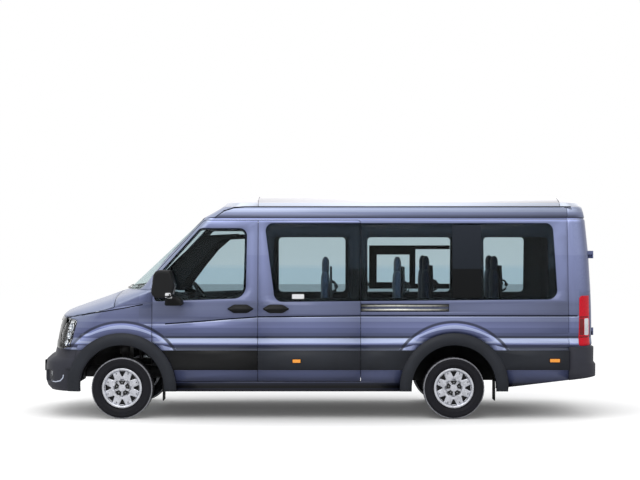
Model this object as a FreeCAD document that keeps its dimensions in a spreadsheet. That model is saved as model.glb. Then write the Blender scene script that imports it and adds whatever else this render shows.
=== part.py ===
import FreeCAD, Part
import Sketcher
import math
import os

# A high-roof minibus with a sliding passenger door on its left side, two barn doors at the back,
# nine seats in the cabin, three in the cab and single rear wheels. Millimetres.
# X runs from the nose (negative) to the tail (positive), Y towards the vehicle's right side, Z up.
# The origin lies on the ground, midway between nose and tail.

V = FreeCAD.Vector
doc = FreeCAD.newDocument("minibus")

# Driving dimensions: alias, millimetres or degrees, what it is.
SIZES = [
    ("wheelbase", 3850, "front axle to rear axle"),
    ("front_overhang", 1030, "front axle to the foremost point of the bumper"),
    ("rear_overhang", 1670, "rear axle to the rearmost point of the bumper"),
    ("half_width", 1000, "centre plane to the painted side, at hip height"),
    ("wall", 55, "thickness of sides and doors"),
    ("roof_wall", 25, "height taken by the roof panel and its lining"),
    ("nose_wall", 45, "depth of the front panels along X"),
    ("gap", 6, "gap round doors and lids"),
    ("fit_gap", 0.3, "clearance where pieces seat on each other"),
    ("sill_height", 318, "underside of the sills"),
    ("door_foot", 440, "underside of the side doors"),
    ("strip_low", 572, "lower edge of the dark side strip"),
    ("strip_high", 800, "upper edge of the dark side strip"),
    ("belt_height", 1358, "lower edge of the side glass"),
    ("glass_top", 2272, "upper edge of the side glass"),
    ("header_height", 2312, "top of the sides, where the roof moulding starts"),
    ("gutter_height", 2462, "line where the roof skin starts"),
    ("roof_height", 2600, "crest of the roof"),
    ("floor_height", 620, "top of the cabin floor"),
    ("floor_depth", 40, "thickness of the floor"),
    ("door_front", 355, "front axle to the front door's front edge"),
    ("door_rear", 1574, "front axle to the front door's rear edge"),
    ("slider_rear", 2771, "front axle to the sliding door's rear edge"),
    ("rear_glass_end", 1186, "rear axle to the end of the side glass"),
    ("corner_seam", 1325, "rear axle to the seam of the rear corner panel"),
    ("arch_radius", 490, "radius of the wheel arch opening"),
    ("arch_height", 370, "height of the arch's centre"),
    ("flare_width", 140, "width of the dark flare round an arch"),
    ("flare_stand", 22, "how far strips and flares stand off the side"),
    ("bulge_radius", 770, "radius of the painted swelling over an arch"),
    ("bulge_slope", 115, "radial run of the swelling's slope"),
    ("bulge_stand", 12, "how far the swelling stands off the side"),
    ("tyre_radius", 356, "outer radius of the tyre"),
    ("tyre_width", 235, "section width of the tyre"),
    ("tyre_facets", 72, "flat facets round a tyre"),
    ("rim_radius", 216, "bead seat radius of the rim"),
    ("rim_depth", 190, "width of the rim"),
    ("rim_spokes", 8, "spokes, with as many windows between them"),
    ("half_track", 860, "centre plane to the middle of a wheel"),
    ("king_pin", 700, "centre plane to the steering axis"),
    ("stub_radius", 30, "radius of the stub axles"),
    ("rear_door_foot", 850, "underside of the rear doors"),
    ("rear_door_half", 752, "centre plane to a rear door's hinged edge"),
    ("bonnet_rear", 85, "front axle to the bonnet's rear edge, forwards"),
    ("row_pitch", 850, "spacing of the seat rows"),
    ("seat_width", 450, "width of one seat"),
    ("seat_rise", 450, "floor to the top of a seat cushion"),
    ("back_rise", 820, "cushion to the top of a seat back"),
    ("glass_thick", 5, "thickness of the glass"),
    ("glass_inset", 3, "how far the glass lies behind the painted face"),
    ("rail_spacing", 420, "centre plane to the middle of a chassis rail"),
    ("rail_width", 80, "width of a chassis rail"),
    ("rail_depth", 140, "height of a chassis rail"),
    ("mirror_round", 32, "rounding of the mirror heads' rims"),
    ("handle_long", 315, "length of a door handle's plate"),
    ("handle_tall", 100, "height of a door handle's plate"),
    ("handle_stand", 20, "reach of a door handle's bar beyond the side's greatest half width"),
    ("eye_bore", 40, "bore of the towing eyes"),
    ("lug_thick", 18, "thickness of the towing eyes' lugs"),
    ("flap_foot", 210, "ground to the foot of the mud flaps"),
    ("tank_depth", 140, "depth of the fuel tank"),
    ("silencer_radius", 70, "radius of the silencer"),
    ("grille_half", 640, "half width of the grille's mouth at its top"),
    ("grille_slats", 4, "level slats across the grille"),
    ("slat_height", 16, "height of one slat"),
    ("slat_depth", 30, "depth of the slats along X"),
]

sheet = doc.addObject("Spreadsheet::Sheet", "sizes")
for row, (alias, value, words) in enumerate(SIZES, 1):
    sheet.set(f"A{row}", words)
    sheet.set(f"B{row}", str(value))
    sheet.setAlias(f"B{row}", alias)
doc.recompute()
size = {alias: float(sheet.get(alias)) for alias, _, _ in SIZES}

# Stations along X, worked out from the driving dimensions.
length = size["front_overhang"] + size["wheelbase"] + size["rear_overhang"]
nose = -length / 2
tail = length / 2
front_axle = nose + size["front_overhang"]
rear_axle = tail - size["rear_overhang"]
body_rear = tail - 45
door_front = front_axle + size["door_front"]
door_rear = front_axle + size["door_rear"]
slider_rear = front_axle + size["slider_rear"]
glass_end = rear_axle + size["rear_glass_end"]
bonnet_rear = front_axle - size["bonnet_rear"]
flare_radius = size["arch_radius"] + size["flare_width"]
FAR = 2 * size["half_width"]
LEFT, RIGHT = -1, 1
SIDES = (("left", LEFT), ("right", RIGHT))


NODES = []


def keep(feature, name):
    """Enter a feature as a sub-part; its label names its file."""
    feature.Label = name
    NODES.append(feature)
    return feature


def add(name, shape):
    """A sub-part whose shape the panels' own functions make."""
    feature = doc.addObject("Part::Feature", name)
    feature.Shape = shape
    return keep(feature, name)


def box(x, y, z):
    """A box from its three spans, each (low, high)."""
    return Part.makeBox(x[1] - x[0], y[1] - y[0], z[1] - z[0], V(x[0], y[0], z[0]))


def outline(points):
    """A closed wire from (a, b, radius) corners, drawn in the XZ plane. A corner with a radius is an arc."""
    corners = [(V(p[0], 0, p[1]), p[2] if len(p) > 2 else 0) for p in points]
    ends = []
    for i, (corner, radius) in enumerate(corners):
        before = (corners[i - 1][0] - corner).normalize()
        after = (corners[(i + 1) % len(corners)][0] - corner).normalize()
        if not radius:
            ends.append((corner, corner, corner))
            continue
        half = before.getAngle(after) / 2
        run = radius / math.tan(half)
        middle = (before + after).normalize()
        top = corner + middle * (radius / math.sin(half) - radius)
        ends.append((corner + before * run, top, corner + after * run))
    edges = []
    for i, (start, top, end) in enumerate(ends):
        if start != end:
            edges.append(Part.Arc(start, top, end).toShape())
        edges.append(Part.makeLine(end, ends[(i + 1) % len(ends)][0]))
    return Part.Wire(edges)


def side_prism(points, y, grow=0.0):
    """The outline in the XZ plane, grown all round, extruded across the span y."""
    wire = outline(points)
    if grow:
        wire = wire.makeOffset2D(grow)
    wire.translate(V(0, y[0], 0))
    return Part.Face(wire).extrude(V(0, y[1] - y[0], 0))


def end_prism(points, x, grow=0.0):
    """An outline of (y, z, radius) corners, grown all round, extruded along X across the span x."""
    wire = outline(points)
    if grow:
        wire = wire.makeOffset2D(grow)
    wire.rotate(V(0, 0, 0), V(0, 0, 1), 90)
    wire.translate(V(x[0], 0, 0))
    return Part.Face(wire).extrude(V(x[1] - x[0], 0, 0))


def cross_tube(x, z, radius, y):
    """A cylinder along Y."""
    return Part.makeCylinder(radius, y[1] - y[0], V(x, y[0], z), V(0, 1, 0))


def side_span(side, near, far):
    """The span in Y from near to far off the centre plane, on one side."""
    return (near, far) if side == RIGHT else (-far, -near)


def plan(z, front, rear, half, screen, corner, back):
    """The body's plan at height z: a curved front, rounded corners, straight sides and a straight back."""
    centre = front + screen
    rise = half - corner
    start = centre - math.sqrt((screen - corner) ** 2 - rise ** 2)
    turn = math.atan2(rise, centre - start)
    middle = (turn + math.pi / 2) / 2
    joint = (centre - screen * math.cos(turn), screen * math.sin(turn))
    bend = (start - corner * math.cos(middle), rise + corner * math.sin(middle))
    cut = back * (1 - math.sqrt(0.5))

    def at(x, y):
        return V(x, y, z)

    return Part.Wire([
        Part.Arc(at(joint[0], -joint[1]), at(front, 0), at(*joint)).toShape(),
        Part.Arc(at(*joint), at(*bend), at(start, half)).toShape(),
        Part.makeLine(at(start, half), at(rear - back, half)),
        Part.Arc(at(rear - back, half), at(rear - cut, half - cut), at(rear, half - back)).toShape(),
        Part.makeLine(at(rear, half - back), at(rear, back - half)),
        Part.Arc(at(rear, back - half), at(rear - cut, cut - half), at(rear - back, -half)).toShape(),
        Part.makeLine(at(rear - back, -half), at(start, -half)),
        Part.Arc(at(start, -half), at(bend[0], -bend[1]), at(joint[0], -joint[1])).toShape(),
    ])


def body_levels():
    """The plans that the skin is stretched over, from the sills to the roof's crest.

    Each is height, front, rear, half width, then the radii of the front, its corners and the rear corners."""
    half = size["half_width"]
    sill = size["sill_height"]
    low = size["strip_low"]
    high = size["strip_high"]
    belt = size["belt_height"]
    header = size["header_height"]
    gutter = size["gutter_height"]
    levels = [
        (sill, nose + 60, tail - 85, half - 60, 2200, 430, 200),
        (sill + 42, nose + 20, tail - 60, half - 38, 2200, 440, 200),
        (sill + 102, nose, tail - 47, half - 20, 2200, 450, 210),
        (low - 7, nose, body_rear, half - 2, 2200, 450, 220),
        (low + 78, nose + 13, body_rear, half - 2, 2200, 450, 220),
        (low + 128, nose + 70, body_rear, half - 2, 2200, 450, 220),
        (low + 144, nose + 110, body_rear, half - 2, 2200, 450, 220),
        (high, nose + 131, body_rear, half - 2, 2200, 450, 220),
        (high + 28, nose + 133, body_rear - 4, half - 12, 2200, 450, 220),
        (high + 68, nose + 137, body_rear + 2, half + 8, 2200, 450, 225),
        (high + 84, nose + 139, body_rear + 2, half + 7, 2200, 450, 225),
        (high + 142, nose + 147, body_rear - 2, half - 16, 2200, 450, 220),
        (high + 200, nose + 159, body_rear, half - 9, 2200, 450, 220),
        (high + 260, nose + 173, body_rear, half - 7, 2200, 450, 220),
        (belt - 228, nose + 192, body_rear, half - 10, 2200, 450, 220),
        (belt - 193, nose + 209, body_rear, half - 14, 2200, 450, 220),
        (belt - 163, nose + 232, body_rear, half - 16, 2190, 445, 220),
        (belt - 136, nose + 265, body_rear, half - 18, 2180, 440, 220),
        (belt - 114, nose + 308, body_rear, half - 20, 2150, 430, 220),
        (belt - 93, front_axle - 667, body_rear, half - 22, 2110, 415, 220),
        (belt - 48, front_axle - 540, body_rear, half - 27, 2040, 380, 219),
        (belt + 2, front_axle - 398, body_rear - 1, half - 32, 1950, 340, 218),
        (belt + 62, front_axle - 228, body_rear - 2, half - 37, 1830, 280, 217),
        (belt + 131, front_axle - 33, body_rear - 4, half - 43, 1700, 220, 216),
        (belt + 542, front_axle + 411, body_rear - 23, half - 75, 2700, 180, 210),
        (header, front_axle + 855, body_rear - 60, half - 117, 4150, 120, 200),
        (header + 6, front_axle + 861, body_rear - 68, half - 126, 4160, 120, 200),
        (header + 20, front_axle + 876, body_rear - 70, half - 127, 4160, 120, 200),
        (header + 28, front_axle + 887, body_rear - 64, half - 120, 4200, 120, 200),
        (header + 88, front_axle + 996, body_rear - 76, half - 130, 4200, 140, 195),
        (header + 128, front_axle + 1065, body_rear - 87, half - 148, 4200, 160, 190),
        (gutter, front_axle + 1099, body_rear - 96, half - 164, 4200, 170, 185),
    ]
    crown = size["roof_height"] - gutter - 8
    for degrees in (0, 18, 33, 48, 62, 76, 90):
        turn = math.radians(degrees)
        run = 1 - math.cos(turn)
        levels.append((
            gutter + 8 + crown * math.sin(turn),
            front_axle + 1110 + 560 * run ** 0.8,
            body_rear - 106 - 470 * run ** 0.85,
            half - 178 - 600 * run,
            4200,
            175 - 75 * run,
            180 - 80 * run,
        ))
    return levels


def skin(levels, side=0, front=0, rear=0, drop=0):
    """The closed form over these levels, drawn in by side, front and rear, and lowered by drop above the belt."""
    lowered = size["belt_height"] - 240
    wires = []
    for z, x0, x1, half, screen, corner, back in levels:
        height = z - drop if z > lowered else z
        ends = (x0 + front, x1 - rear)
        wires.append(plan(height, *ends, half - side, screen, corner - side / 2, back - side / 2))
    return Part.makeLoft(wires, True, True)


def every(levels, keep):
    """The levels whose numbers are kept, for forms that need no mouldings."""
    return [levels[i] for i in keep]


LEVELS = body_levels()
PLAIN = (0, 3, 4, 6, 13, 15, 17, 19, 21, 23, 24, 25, 29, 31, 33, 35, 37)
WAIST = (11, 15, 17, 19, 21, 23)


def arch_cutter(axle, side, near=600.0):
    """The opening of one wheel arch, through the side and down past the sill."""
    radius = size["arch_radius"]
    y = side_span(side, near, size["half_width"] + 200)
    round_part = cross_tube(axle, size["arch_height"], radius, y)
    return round_part.fuse(box((axle - radius, axle + radius), y, (0, size["arch_height"])))


def arch_bulge(axle, side):
    """The painted swelling over one wheel arch: a low cone on the side of the body."""
    inner = size["half_width"] - 24
    outer = size["half_width"] + size["bulge_stand"]
    foot = size["bulge_radius"]
    centre = V(axle, side * inner, size["arch_height"])
    cone = Part.makeCone(foot, foot - size["bulge_slope"], outer - inner, centre, V(0, side, 0))
    return cone.cut(box((axle - FAR, axle + FAR), (-FAR, FAR), (-FAR, size["strip_low"] + 1)))


outer = skin(LEVELS)
stand_off = skin(every(LEVELS, (0, 2, 3, 6, 7, 11, 13, 17, 19, 21)), side=-size["bulge_stand"])
bulges = [
    arch_bulge(axle, side).common(stand_off) for axle in (front_axle, rear_axle) for side in (LEFT, RIGHT)
]
outer = outer.fuse(bulges)
inner = skin(
    every(LEVELS, PLAIN), size["wall"], size["nose_wall"], size["wall"], size["roof_wall"]
)
shell = outer.cut(inner)
for axle in (front_axle, rear_axle):
    for side in (LEFT, RIGHT):
        shell = shell.cut(arch_cutter(axle, side))


gap = size["gap"]
fit = size["fit_gap"]
belt = size["belt_height"]
header = size["header_height"]
gutter = size["gutter_height"]
sill = size["sill_height"]
foot = size["door_foot"]
low = size["strip_low"]
high = size["strip_high"]
arch_height = size["arch_height"]
half_width = size["half_width"]
ACROSS = (-FAR, FAR)
SEAM = half_width - 300
door_high = header - 10
cowl_top = belt + 136
sill_start = front_axle + math.sqrt((flare_radius + gap) ** 2 - (foot - arch_height) ** 2)
rear_door_foot = size["rear_door_foot"]
rear_door_half = size["rear_door_half"]



def band(line, half):
    """A band of constant height along a line of (x, z) points, through the whole width."""
    return side_prism([(x, z - half) for x, z in line] + [(x, z + half) for x, z in reversed(line)], ACROSS)


# The dark groove along the sides, and the gutter's groove under the roof.
corner_x = rear_axle + size["corner_seam"]
groove_line = [(door_rear, belt - 173), (slider_rear, belt - 162), (corner_x, belt - 162)]
groove = band(
    [(door_front + 150, belt - 254), (door_front + 555, belt - 225), (door_rear - 319, belt - 196)]
    + groove_line + [(corner_x + 104, belt - 162)],
    7,
)
shell = shell.cut(groove.cut(skin(every(LEVELS, (11, 13, 15, 17, 19, 21)), side=27)))
gutter_groove = band(
    [
        (door_front + 727, gutter - 120), (door_front + 815, gutter - 50), (door_front + 930, gutter - 12),
        (door_front + 1063, gutter), (rear_axle + 1290, gutter), (rear_axle + 1385, gutter - 28),
    ],
    5,
)
shell = shell.cut(gutter_groove.cut(skin(every(LEVELS, PLAIN), side=8, front=8, drop=6)))

# The seams that don't open, as fine grooves: rear corner panels and roof panels.
seams = [
    box((corner_x - 3, corner_x + 3), ACROSS, (foot, gutter - 5)),
    box((door_rear - 4, door_rear + 4), ACROSS, (gutter + 4, FAR * 2)),
    box((rear_axle + 1244, rear_axle + 1252), ACROSS, (gutter + 4, FAR * 2)),
]
shell = shell.cut([seam.cut(skin(every(LEVELS, PLAIN), side=5, drop=5)) for seam in seams])


def door_prism(y, grow=0.0):
    """The front door seen from its side; grown by the gap it is the opening."""
    points = [
        (door_rear, foot), (door_rear, door_high), (front_axle + 945, door_high, 60),
        (door_front, belt + 301), (door_front, foot),
    ]
    arch = cross_tube(front_axle, arch_height, flare_radius + gap - grow, y)
    return side_prism(points, y, grow).cut(arch)


def slider_prism(y, grow=0.0):
    """The sliding door seen from its side; grown by the gap it is the opening."""
    start = door_rear + gap
    end = slider_rear - gap
    points = [(start, foot), (end, foot), (end, door_high, 30), (start, door_high)]
    return side_prism(points, y, grow)


bonnet_line = [
    (nose - 50, belt - 193), (front_axle - 635, belt - 182), (front_axle - 246, belt - 104),
    (bonnet_rear, belt - 62),
]
bonnet_zone = bonnet_line + [(bonnet_rear, header), (nose - 50, header)]
cowl_rise = (belt - 11 - (belt - 62)) / (door_front - bonnet_rear)
cowl_zone = [
    (bonnet_rear + gap, belt - 62 + gap * cowl_rise), (door_front, belt - 11), (sill_start, belt - 11),
    (sill_start, cowl_top - fit), (bonnet_rear + gap, cowl_top - fit),
]
wing_zone = [
    (nose - 50, high + 3), (front_axle, high + 3), (front_axle, 0), (sill_start, 0), (sill_start, belt - 11 - fit),
    (door_front, belt - 11 - fit), (bonnet_rear, belt - 62 - fit), (bonnet_rear, belt - 62 - gap),
] + [(x, z - gap) for x, z in reversed(bonnet_line[:3])]
lamp_zone = [
    (front_axle - 732, high + 6), (front_axle - 690, high + 6), (front_axle - 593, high + 84),
    (front_axle - 524, belt - 238, 30), (front_axle - 535, belt - 212, 20),
    (front_axle - 636, belt - 194), (front_axle - 732, high + 180),
]
grille_zone = [
    (nose - 50, high + 3 + fit), (front_axle - 732 - fit, high + 3 + fit),
    (front_axle - 732 - fit, high + 180), (front_axle - 636, belt - 188 - gap), (nose - 50, belt - 193 - gap),
]
side_zone = [
    (sill_start + fit, 0), (tail + 50, 0), (tail + 50, gutter), (bonnet_rear - 200, gutter),
    (bonnet_rear - 200, cowl_top), (sill_start + fit, cowl_top),
]
tail_zone = [
    (rear_axle + 1436, rear_door_foot, 30), (rear_axle + 1579, rear_door_foot), (rear_axle + 1579, belt + 70),
    (rear_axle + 1452, belt + 70, 40),
]
glass_zone = [
    (door_rear + 201, belt, 100), (glass_end + 17, belt + 28, 110), (glass_end - 30, size["glass_top"], 90),
    (door_rear + 77, size["glass_top"], 90),
]
door_window = [
    (door_front + 22, belt + 4, 40), (door_rear - 137, belt + 42, 150), (door_rear - 124, door_high - 88, 90),
    (door_front + 545, door_high - 88, 80), (door_front + 26, belt + 276, 40),
]

inset = size["glass_inset"]
thick = size["glass_thick"]
GLASS_LEVELS = every(LEVELS, (19, 21, 23, 24, 25, 29))
glass_face = skin(GLASS_LEVELS, inset, inset + 2, inset)
glass_back = skin(GLASS_LEVELS, inset + thick, inset + thick + 4, inset + thick)
glass_seat = skin(GLASS_LEVELS, inset + thick + fit, inset + thick + fit + 4, inset + thick + fit)
glass_layer = glass_face.cut(glass_back)
lip = skin(every(LEVELS, PLAIN), 10, 12, 12)


def half_box(side, near=0.0):
    return box((-2 * FAR, 2 * FAR), side_span(side, near, FAR), (0, 2 * FAR))


def aperture(span, y, low_edge=belt + 42, high_edge=door_high - 192):
    """A window hole through the wall, seen from the side."""
    return side_prism([(span[0], low_edge, 50), (span[1], low_edge, 50), (span[1], high_edge, 50),
                       (span[0], high_edge, 50)], y)


HINGE_X = body_rear + 22
HINGE_Y = rear_door_half + 8
HINGES = (rear_door_foot + 110, rear_door_foot + 1010)


hinge_clear = skin(every(LEVELS, PLAIN), 0, 0, -4)


def rear_hinge(side, z, leaf):
    """Half of a rear door's hinge: a knuckle on the axis, with a leaf to the door or to the body."""
    knuckle = Part.makeCylinder(9, 44, V(HINGE_X, side * HINGE_Y, z))
    depth = (body_rear - 60, HINGE_X)
    height = (z, z + 44)
    if leaf == "body":
        return knuckle.fuse(box(depth, side_span(side, HINGE_Y, rear_door_half + 24), height).cut(inner))
    bridge = box(depth, side_span(side, rear_door_half - 30, HINGE_Y), height).cut(hinge_clear)
    root = box(depth, side_span(side, rear_door_half - 30, rear_door_half), height).cut(inner)
    return knuckle.fuse([bridge, root])


# Joints inside each side: along the groove, at the corner seam, and round the rear arch under its flare.
arch_disc = cross_tube(rear_axle, arch_height, flare_radius - 2, ACROSS)
arch_ring = arch_disc.cut(cross_tube(rear_axle, arch_height, flare_radius - 2 - fit, ACROSS))
side_joints = [
    arch_disc.common(box((rear_axle - fit / 2, rear_axle + fit / 2), ACROSS, (arch_height, 2 * FAR))),
    arch_disc.common(box((rear_axle - FAR, rear_axle + FAR), ACROSS, (arch_height + 250, arch_height + 250 + fit))),
    band(groove_line, fit / 2), box((corner_x - fit / 2, corner_x + fit / 2), ACROSS, (0, 2 * FAR)), arch_ring,
]

side_panes = []
tail_lamps = []
wings = []
head_lamps = []
door_strips = {}


def screen_prism(grow=0.0):
    """The windscreen seen from the front; grown it is the recess in the panels round it."""
    lower = half_width - 130
    upper = half_width - 262
    points = [
        (-lower, cowl_top + 6, 60), (lower, cowl_top + 6, 60), (half_width - 180, belt + 370),
        (upper, header + 6, 60), (-upper, header + 6, 60), (180 - half_width, belt + 370),
    ]
    return end_prism(points, (-2 * FAR, door_rear), grow)


screen_cut = screen_prism(fit).cut(glass_seat).fuse(screen_prism(-30))
departure = side_prism(
    [(rear_axle + 490, 0), (tail + 50, 0), (tail + 50, sill + 183), (rear_axle + 1625, sill + 173),
     (rear_axle + 490, sill + 35)],
    ACROSS,
)
rail_low = belt - 115
rail_high = belt - 23
rail_recess = box((slider_rear, slider_rear + 1020), (-FAR, 0), (rail_low, rail_high))
rail_recess = rail_recess.cut(skin(every(LEVELS, WAIST), 34))


def outer_form(by):
    """The body's outer form with its arch swellings, grown outwards by this much."""
    form = skin(every(LEVELS, (0, 1, 2, 3, 4, 5, 6, 7, 8, 9, 10, 11, 12, 13, 15)), -by, -by)
    return form.fuse([bulge.copy() for bulge in bulges])


for name, side in SIDES:
    half = shell.common(half_box(side))
    y = side_span(side, half_width - 400, FAR)
    opening = door_prism(y, gap)

    # Front door: a thick panel with an overlapping lip at its rear edge, and its glass.
    door = half.common(door_prism(y))
    door = door.cut(box((door_rear - 15, door_rear + 1), y, (0, FAR * 2)).common(lip))
    pane = side_prism(door_window, y)
    seat = side_prism(door_window, y, fit).cut(glass_seat)
    hole = side_prism(door_window, y, -26)
    door = door.cut([seat, hole])
    add("front_door_" + name, door)
    add("front_door_glass_" + name, pane.common(glass_layer))

    # Side of the body behind the front door, with the pillar ahead of it.
    panel = half.common(side_prism(side_zone, y))
    cuts = [opening, box((slider_rear, tail + 50), side_span(side, 0, rear_door_half + gap),
                         (rear_door_foot - gap, door_high + 4))]
    glass = side_prism(glass_zone, y)
    glass_cuts = [side_prism(glass_zone, y, fit).cut(glass_seat)]
    spans = [(slider_rear + 77, slider_rear + 1220), (slider_rear + 1427, slider_rear + 2177)]
    breaks = [box((slider_rear + 1322, slider_rear + 1326), y, (0, FAR * 2))]
    if side == LEFT:
        slider = half.common(slider_prism(y))
        slider = slider.cut(glass_cuts + [aperture((door_rear + 186, slider_rear - 143), y)])
        add("sliding_door", slider)
        cuts.append(slider_prism(y, gap))
        breaks.append(box((slider_rear - gap - 2, slider_rear + 2), y, (0, FAR * 2)))
    else:
        spans.insert(0, (door_rear + 186, slider_rear - 143))
        breaks.append(box((slider_rear - 2, slider_rear + 2), y, (0, FAR * 2)))
    cuts += glass_cuts + [aperture(span, y) for span in spans]
    cuts.append(side_prism(tail_zone, side_span(side, rear_door_half + 24, FAR), fit))
    cuts.append(box((-2 * FAR, door_rear), side_span(side, 0, SEAM), (0, 2 * FAR)))
    cuts.append(box((slider_rear, 2 * FAR), side_span(side, 0, SEAM), (0, 2 * FAR)))
    cuts.append(screen_cut)
    cuts.append(departure)
    if side == LEFT:
        cuts.append(rail_recess)
    panel = panel.cut(cuts).fuse([rear_hinge(side, z + 44 + fit, "body") for z in HINGES])
    panel = panel.cut([joint.common(half_box(side)) for joint in side_joints])
    add("body_side_" + name, Part.makeCompound(panel.Solids))
    side_panes.append(glass.common(glass_layer).cut(breaks))
    tail_lamps.append(half.common(side_prism(tail_zone, side_span(side, rear_door_half + 24 + fit, FAR))))

    # Wing and headlamp.
    wing = half.common(side_prism(wing_zone, y))
    wing = wing.cut([opening, side_prism(lamp_zone, y, fit), side_prism(grille_zone, y, fit)])
    wings.append(wing)
    head_lamps.append(half.common(side_prism(lamp_zone, y)))

    # Rear door: its free edge has the same lip as the front door's rear edge.
    door_span = side_span(side, 4, rear_door_half)
    rear_door = half.common(box((rear_axle, tail + 50), door_span, (rear_door_foot, door_high)))
    rear_door = rear_door.cut(box((rear_axle, tail + 50), side_span(side, 0, 18), (0, 2 * FAR)).common(lip))
    rear_window = [
        (side * 75, belt + 40, 60), (side * (rear_door_half - 70), belt + 40, 60),
        (side * (rear_door_half - 125), door_high - 120, 60), (side * 75, door_high - 120, 60),
    ]
    span = (rear_axle, tail + 50)
    rear_seat = end_prism(rear_window, span, fit).cut(glass_seat)
    rear_door = rear_door.cut([rear_seat, end_prism(rear_window, span, -26)])
    rear_door = rear_door.fuse([rear_hinge(side, z, "door") for z in HINGES])
    add("rear_door_" + name, rear_door)
    add("rear_door_glass_" + name, end_prism(rear_window, span).common(glass_layer))

add("side_glass", Part.makeCompound([pane for panes in side_panes for pane in panes.Solids]))
add("tail_lamps", Part.makeCompound(tail_lamps))
add("front_wings", Part.makeCompound(wings))
add("headlamps", Part.makeCompound(head_lamps))

# Nose: bonnet, grille panel, cowl, windscreen and bumper.
NOSE_LEVELS = every(LEVELS, (0, 2, 3, 4, 5, 6, 7, 9, 11, 13, 15, 17))
ahead = shell.common(box((nose - 50, sill_start + 200), ACROSS, (0, 2 * FAR)))
bonnet = ahead.common(side_prism(bonnet_zone, ACROSS))
add("bonnet", bonnet)
grille = ahead.common(side_prism(grille_zone, ACROSS))
mouth_low = high + 72
mouth_high = belt - 236
mouth_half = size["grille_half"]
mouth = end_prism(
    [
        (-mouth_half + 60, mouth_low, 40), (mouth_half - 60, mouth_low, 40), (mouth_half, mouth_high, 40),
        (-mouth_half, mouth_high, 40),
    ],
    (nose - 50, front_axle),
)
slat_layer = skin(NOSE_LEVELS, 0, 8, 0).cut(skin(NOSE_LEVELS, 0, 8 + size["slat_depth"], 0))
slats = []
slat_count = int(size["grille_slats"])
pitch = (mouth_high - mouth_low) / (slat_count + 1)
for number in range(slat_count):
    z = mouth_low + (number + 1) * pitch - size["slat_height"] / 2
    slats.append(box((nose - 50, front_axle), (-mouth_half - 4, mouth_half + 4), (z, z + size["slat_height"])))
for y in (-mouth_half / 2, 0, mouth_half / 2):
    slats.append(box((nose - 50, front_axle), (y - 6, y + 6), (mouth_low - 4, mouth_high + 4)))
slats = slats[0].fuse(slats[1:]).common(slat_layer).common(end_prism(
    [
        (-mouth_half + 54, mouth_low - 6), (mouth_half - 54, mouth_low - 6), (mouth_half + 6, mouth_high + 6),
        (-mouth_half - 6, mouth_high + 6),
    ],
    (nose - 50, front_axle),
))
add("grille", grille.cut(mouth).fuse(slats))
cowl = ahead.common(side_prism(cowl_zone, ACROSS)).cut(door_prism(ACROSS, gap)).cut(screen_cut)
add("cowl_panel", cowl)
add("windscreen", screen_prism().common(glass_layer))
bumper = ahead.common(box((nose - 50, front_axle), ACROSS, (0, high)))
# Lower air intake with two slats, and a lamp pocket on either side of it.
intake_low = sill + 84
intake_high = low - 26
intake = end_prism(
    [(-430, intake_low, 40), (430, intake_low, 40), (520, intake_high, 40), (-520, intake_high, 40)],
    (nose - 50, front_axle),
)
bars = [
    box((nose - 50, front_axle), (-540, 540), (z - 8, z + 8))
    for z in (intake_low + (intake_high - intake_low) / 3, intake_high - (intake_high - intake_low) / 3)
]
bars = bars[0].fuse(bars[1]).common(slat_layer).common(end_prism(
    [(-436, intake_low - 6), (436, intake_low - 6), (526, intake_high + 6), (-526, intake_high + 6)],
    (nose - 50, front_axle),
))
pocket_floor = skin(NOSE_LEVELS, 28, 30, 0)
pockets = [
    end_prism(
        [
            (side * 640, sill + 90, 25), (side * 850, sill + 120, 30), (side * 850, low - 6, 30),
            (side * 620, low - 30, 25),
        ],
        (nose - 50, front_axle - 600),
    ).cut(pocket_floor)
    for side in (LEFT, RIGHT)
]
add("front_bumper", bumper.cut([intake] + pockets).fuse(bars))

# Roof, with the header over the windscreen and the one over the rear doors.
crown = box((-2 * FAR, 2 * FAR), ACROSS, (gutter + fit, 2 * FAR))
front_header = box((-2 * FAR, door_rear), (fit - SEAM, SEAM - fit), (header + 10, gutter + 5))
rear_header = box((rear_axle + 1200, 2 * FAR), (fit - SEAM, SEAM - fit), (door_high + 4 + fit, gutter + 5))
roof = shell.common(crown.fuse([front_header, rear_header])).cut(screen_cut)
add("roof", roof)

# Rear end below the doors: a painted panel and the bumper cover over it.
rear_low = box((rear_axle + 1200, tail + 50), (fit - SEAM, SEAM - fit), (0, rear_door_foot - gap))
rear_panel = shell.common(rear_low).cut(departure)
add("rear_panel", rear_panel)
bumper_levels = [
    (sill + 36, nose, tail - 35, half_width - 10, 2200, 450, 210),
    (sill + 90, nose, tail - 4, half_width + 8, 2200, 450, 215),
    (low - 30, nose, tail, half_width + 12, 2200, 450, 220),
    (low + 60, nose, tail, half_width + 12, 2200, 450, 220),
    (low + 90, nose, tail - 24, half_width + 12, 2200, 450, 220),
    (high + 30, nose, tail - 22, half_width + 10, 2200, 450, 220),
    (high + 38, nose, tail - 32, half_width + 6, 2200, 450, 220),
]
cover = skin(bumper_levels).common(box((corner_x, tail + 50), ACROSS, (0, 2 * FAR)))
cover = cover.cut(skin(every(LEVELS, (0, 1, 2, 3, 7, 8, 9, 11)), -fit, 0, -fit)).cut(departure)
add("rear_bumper", cover)

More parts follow.
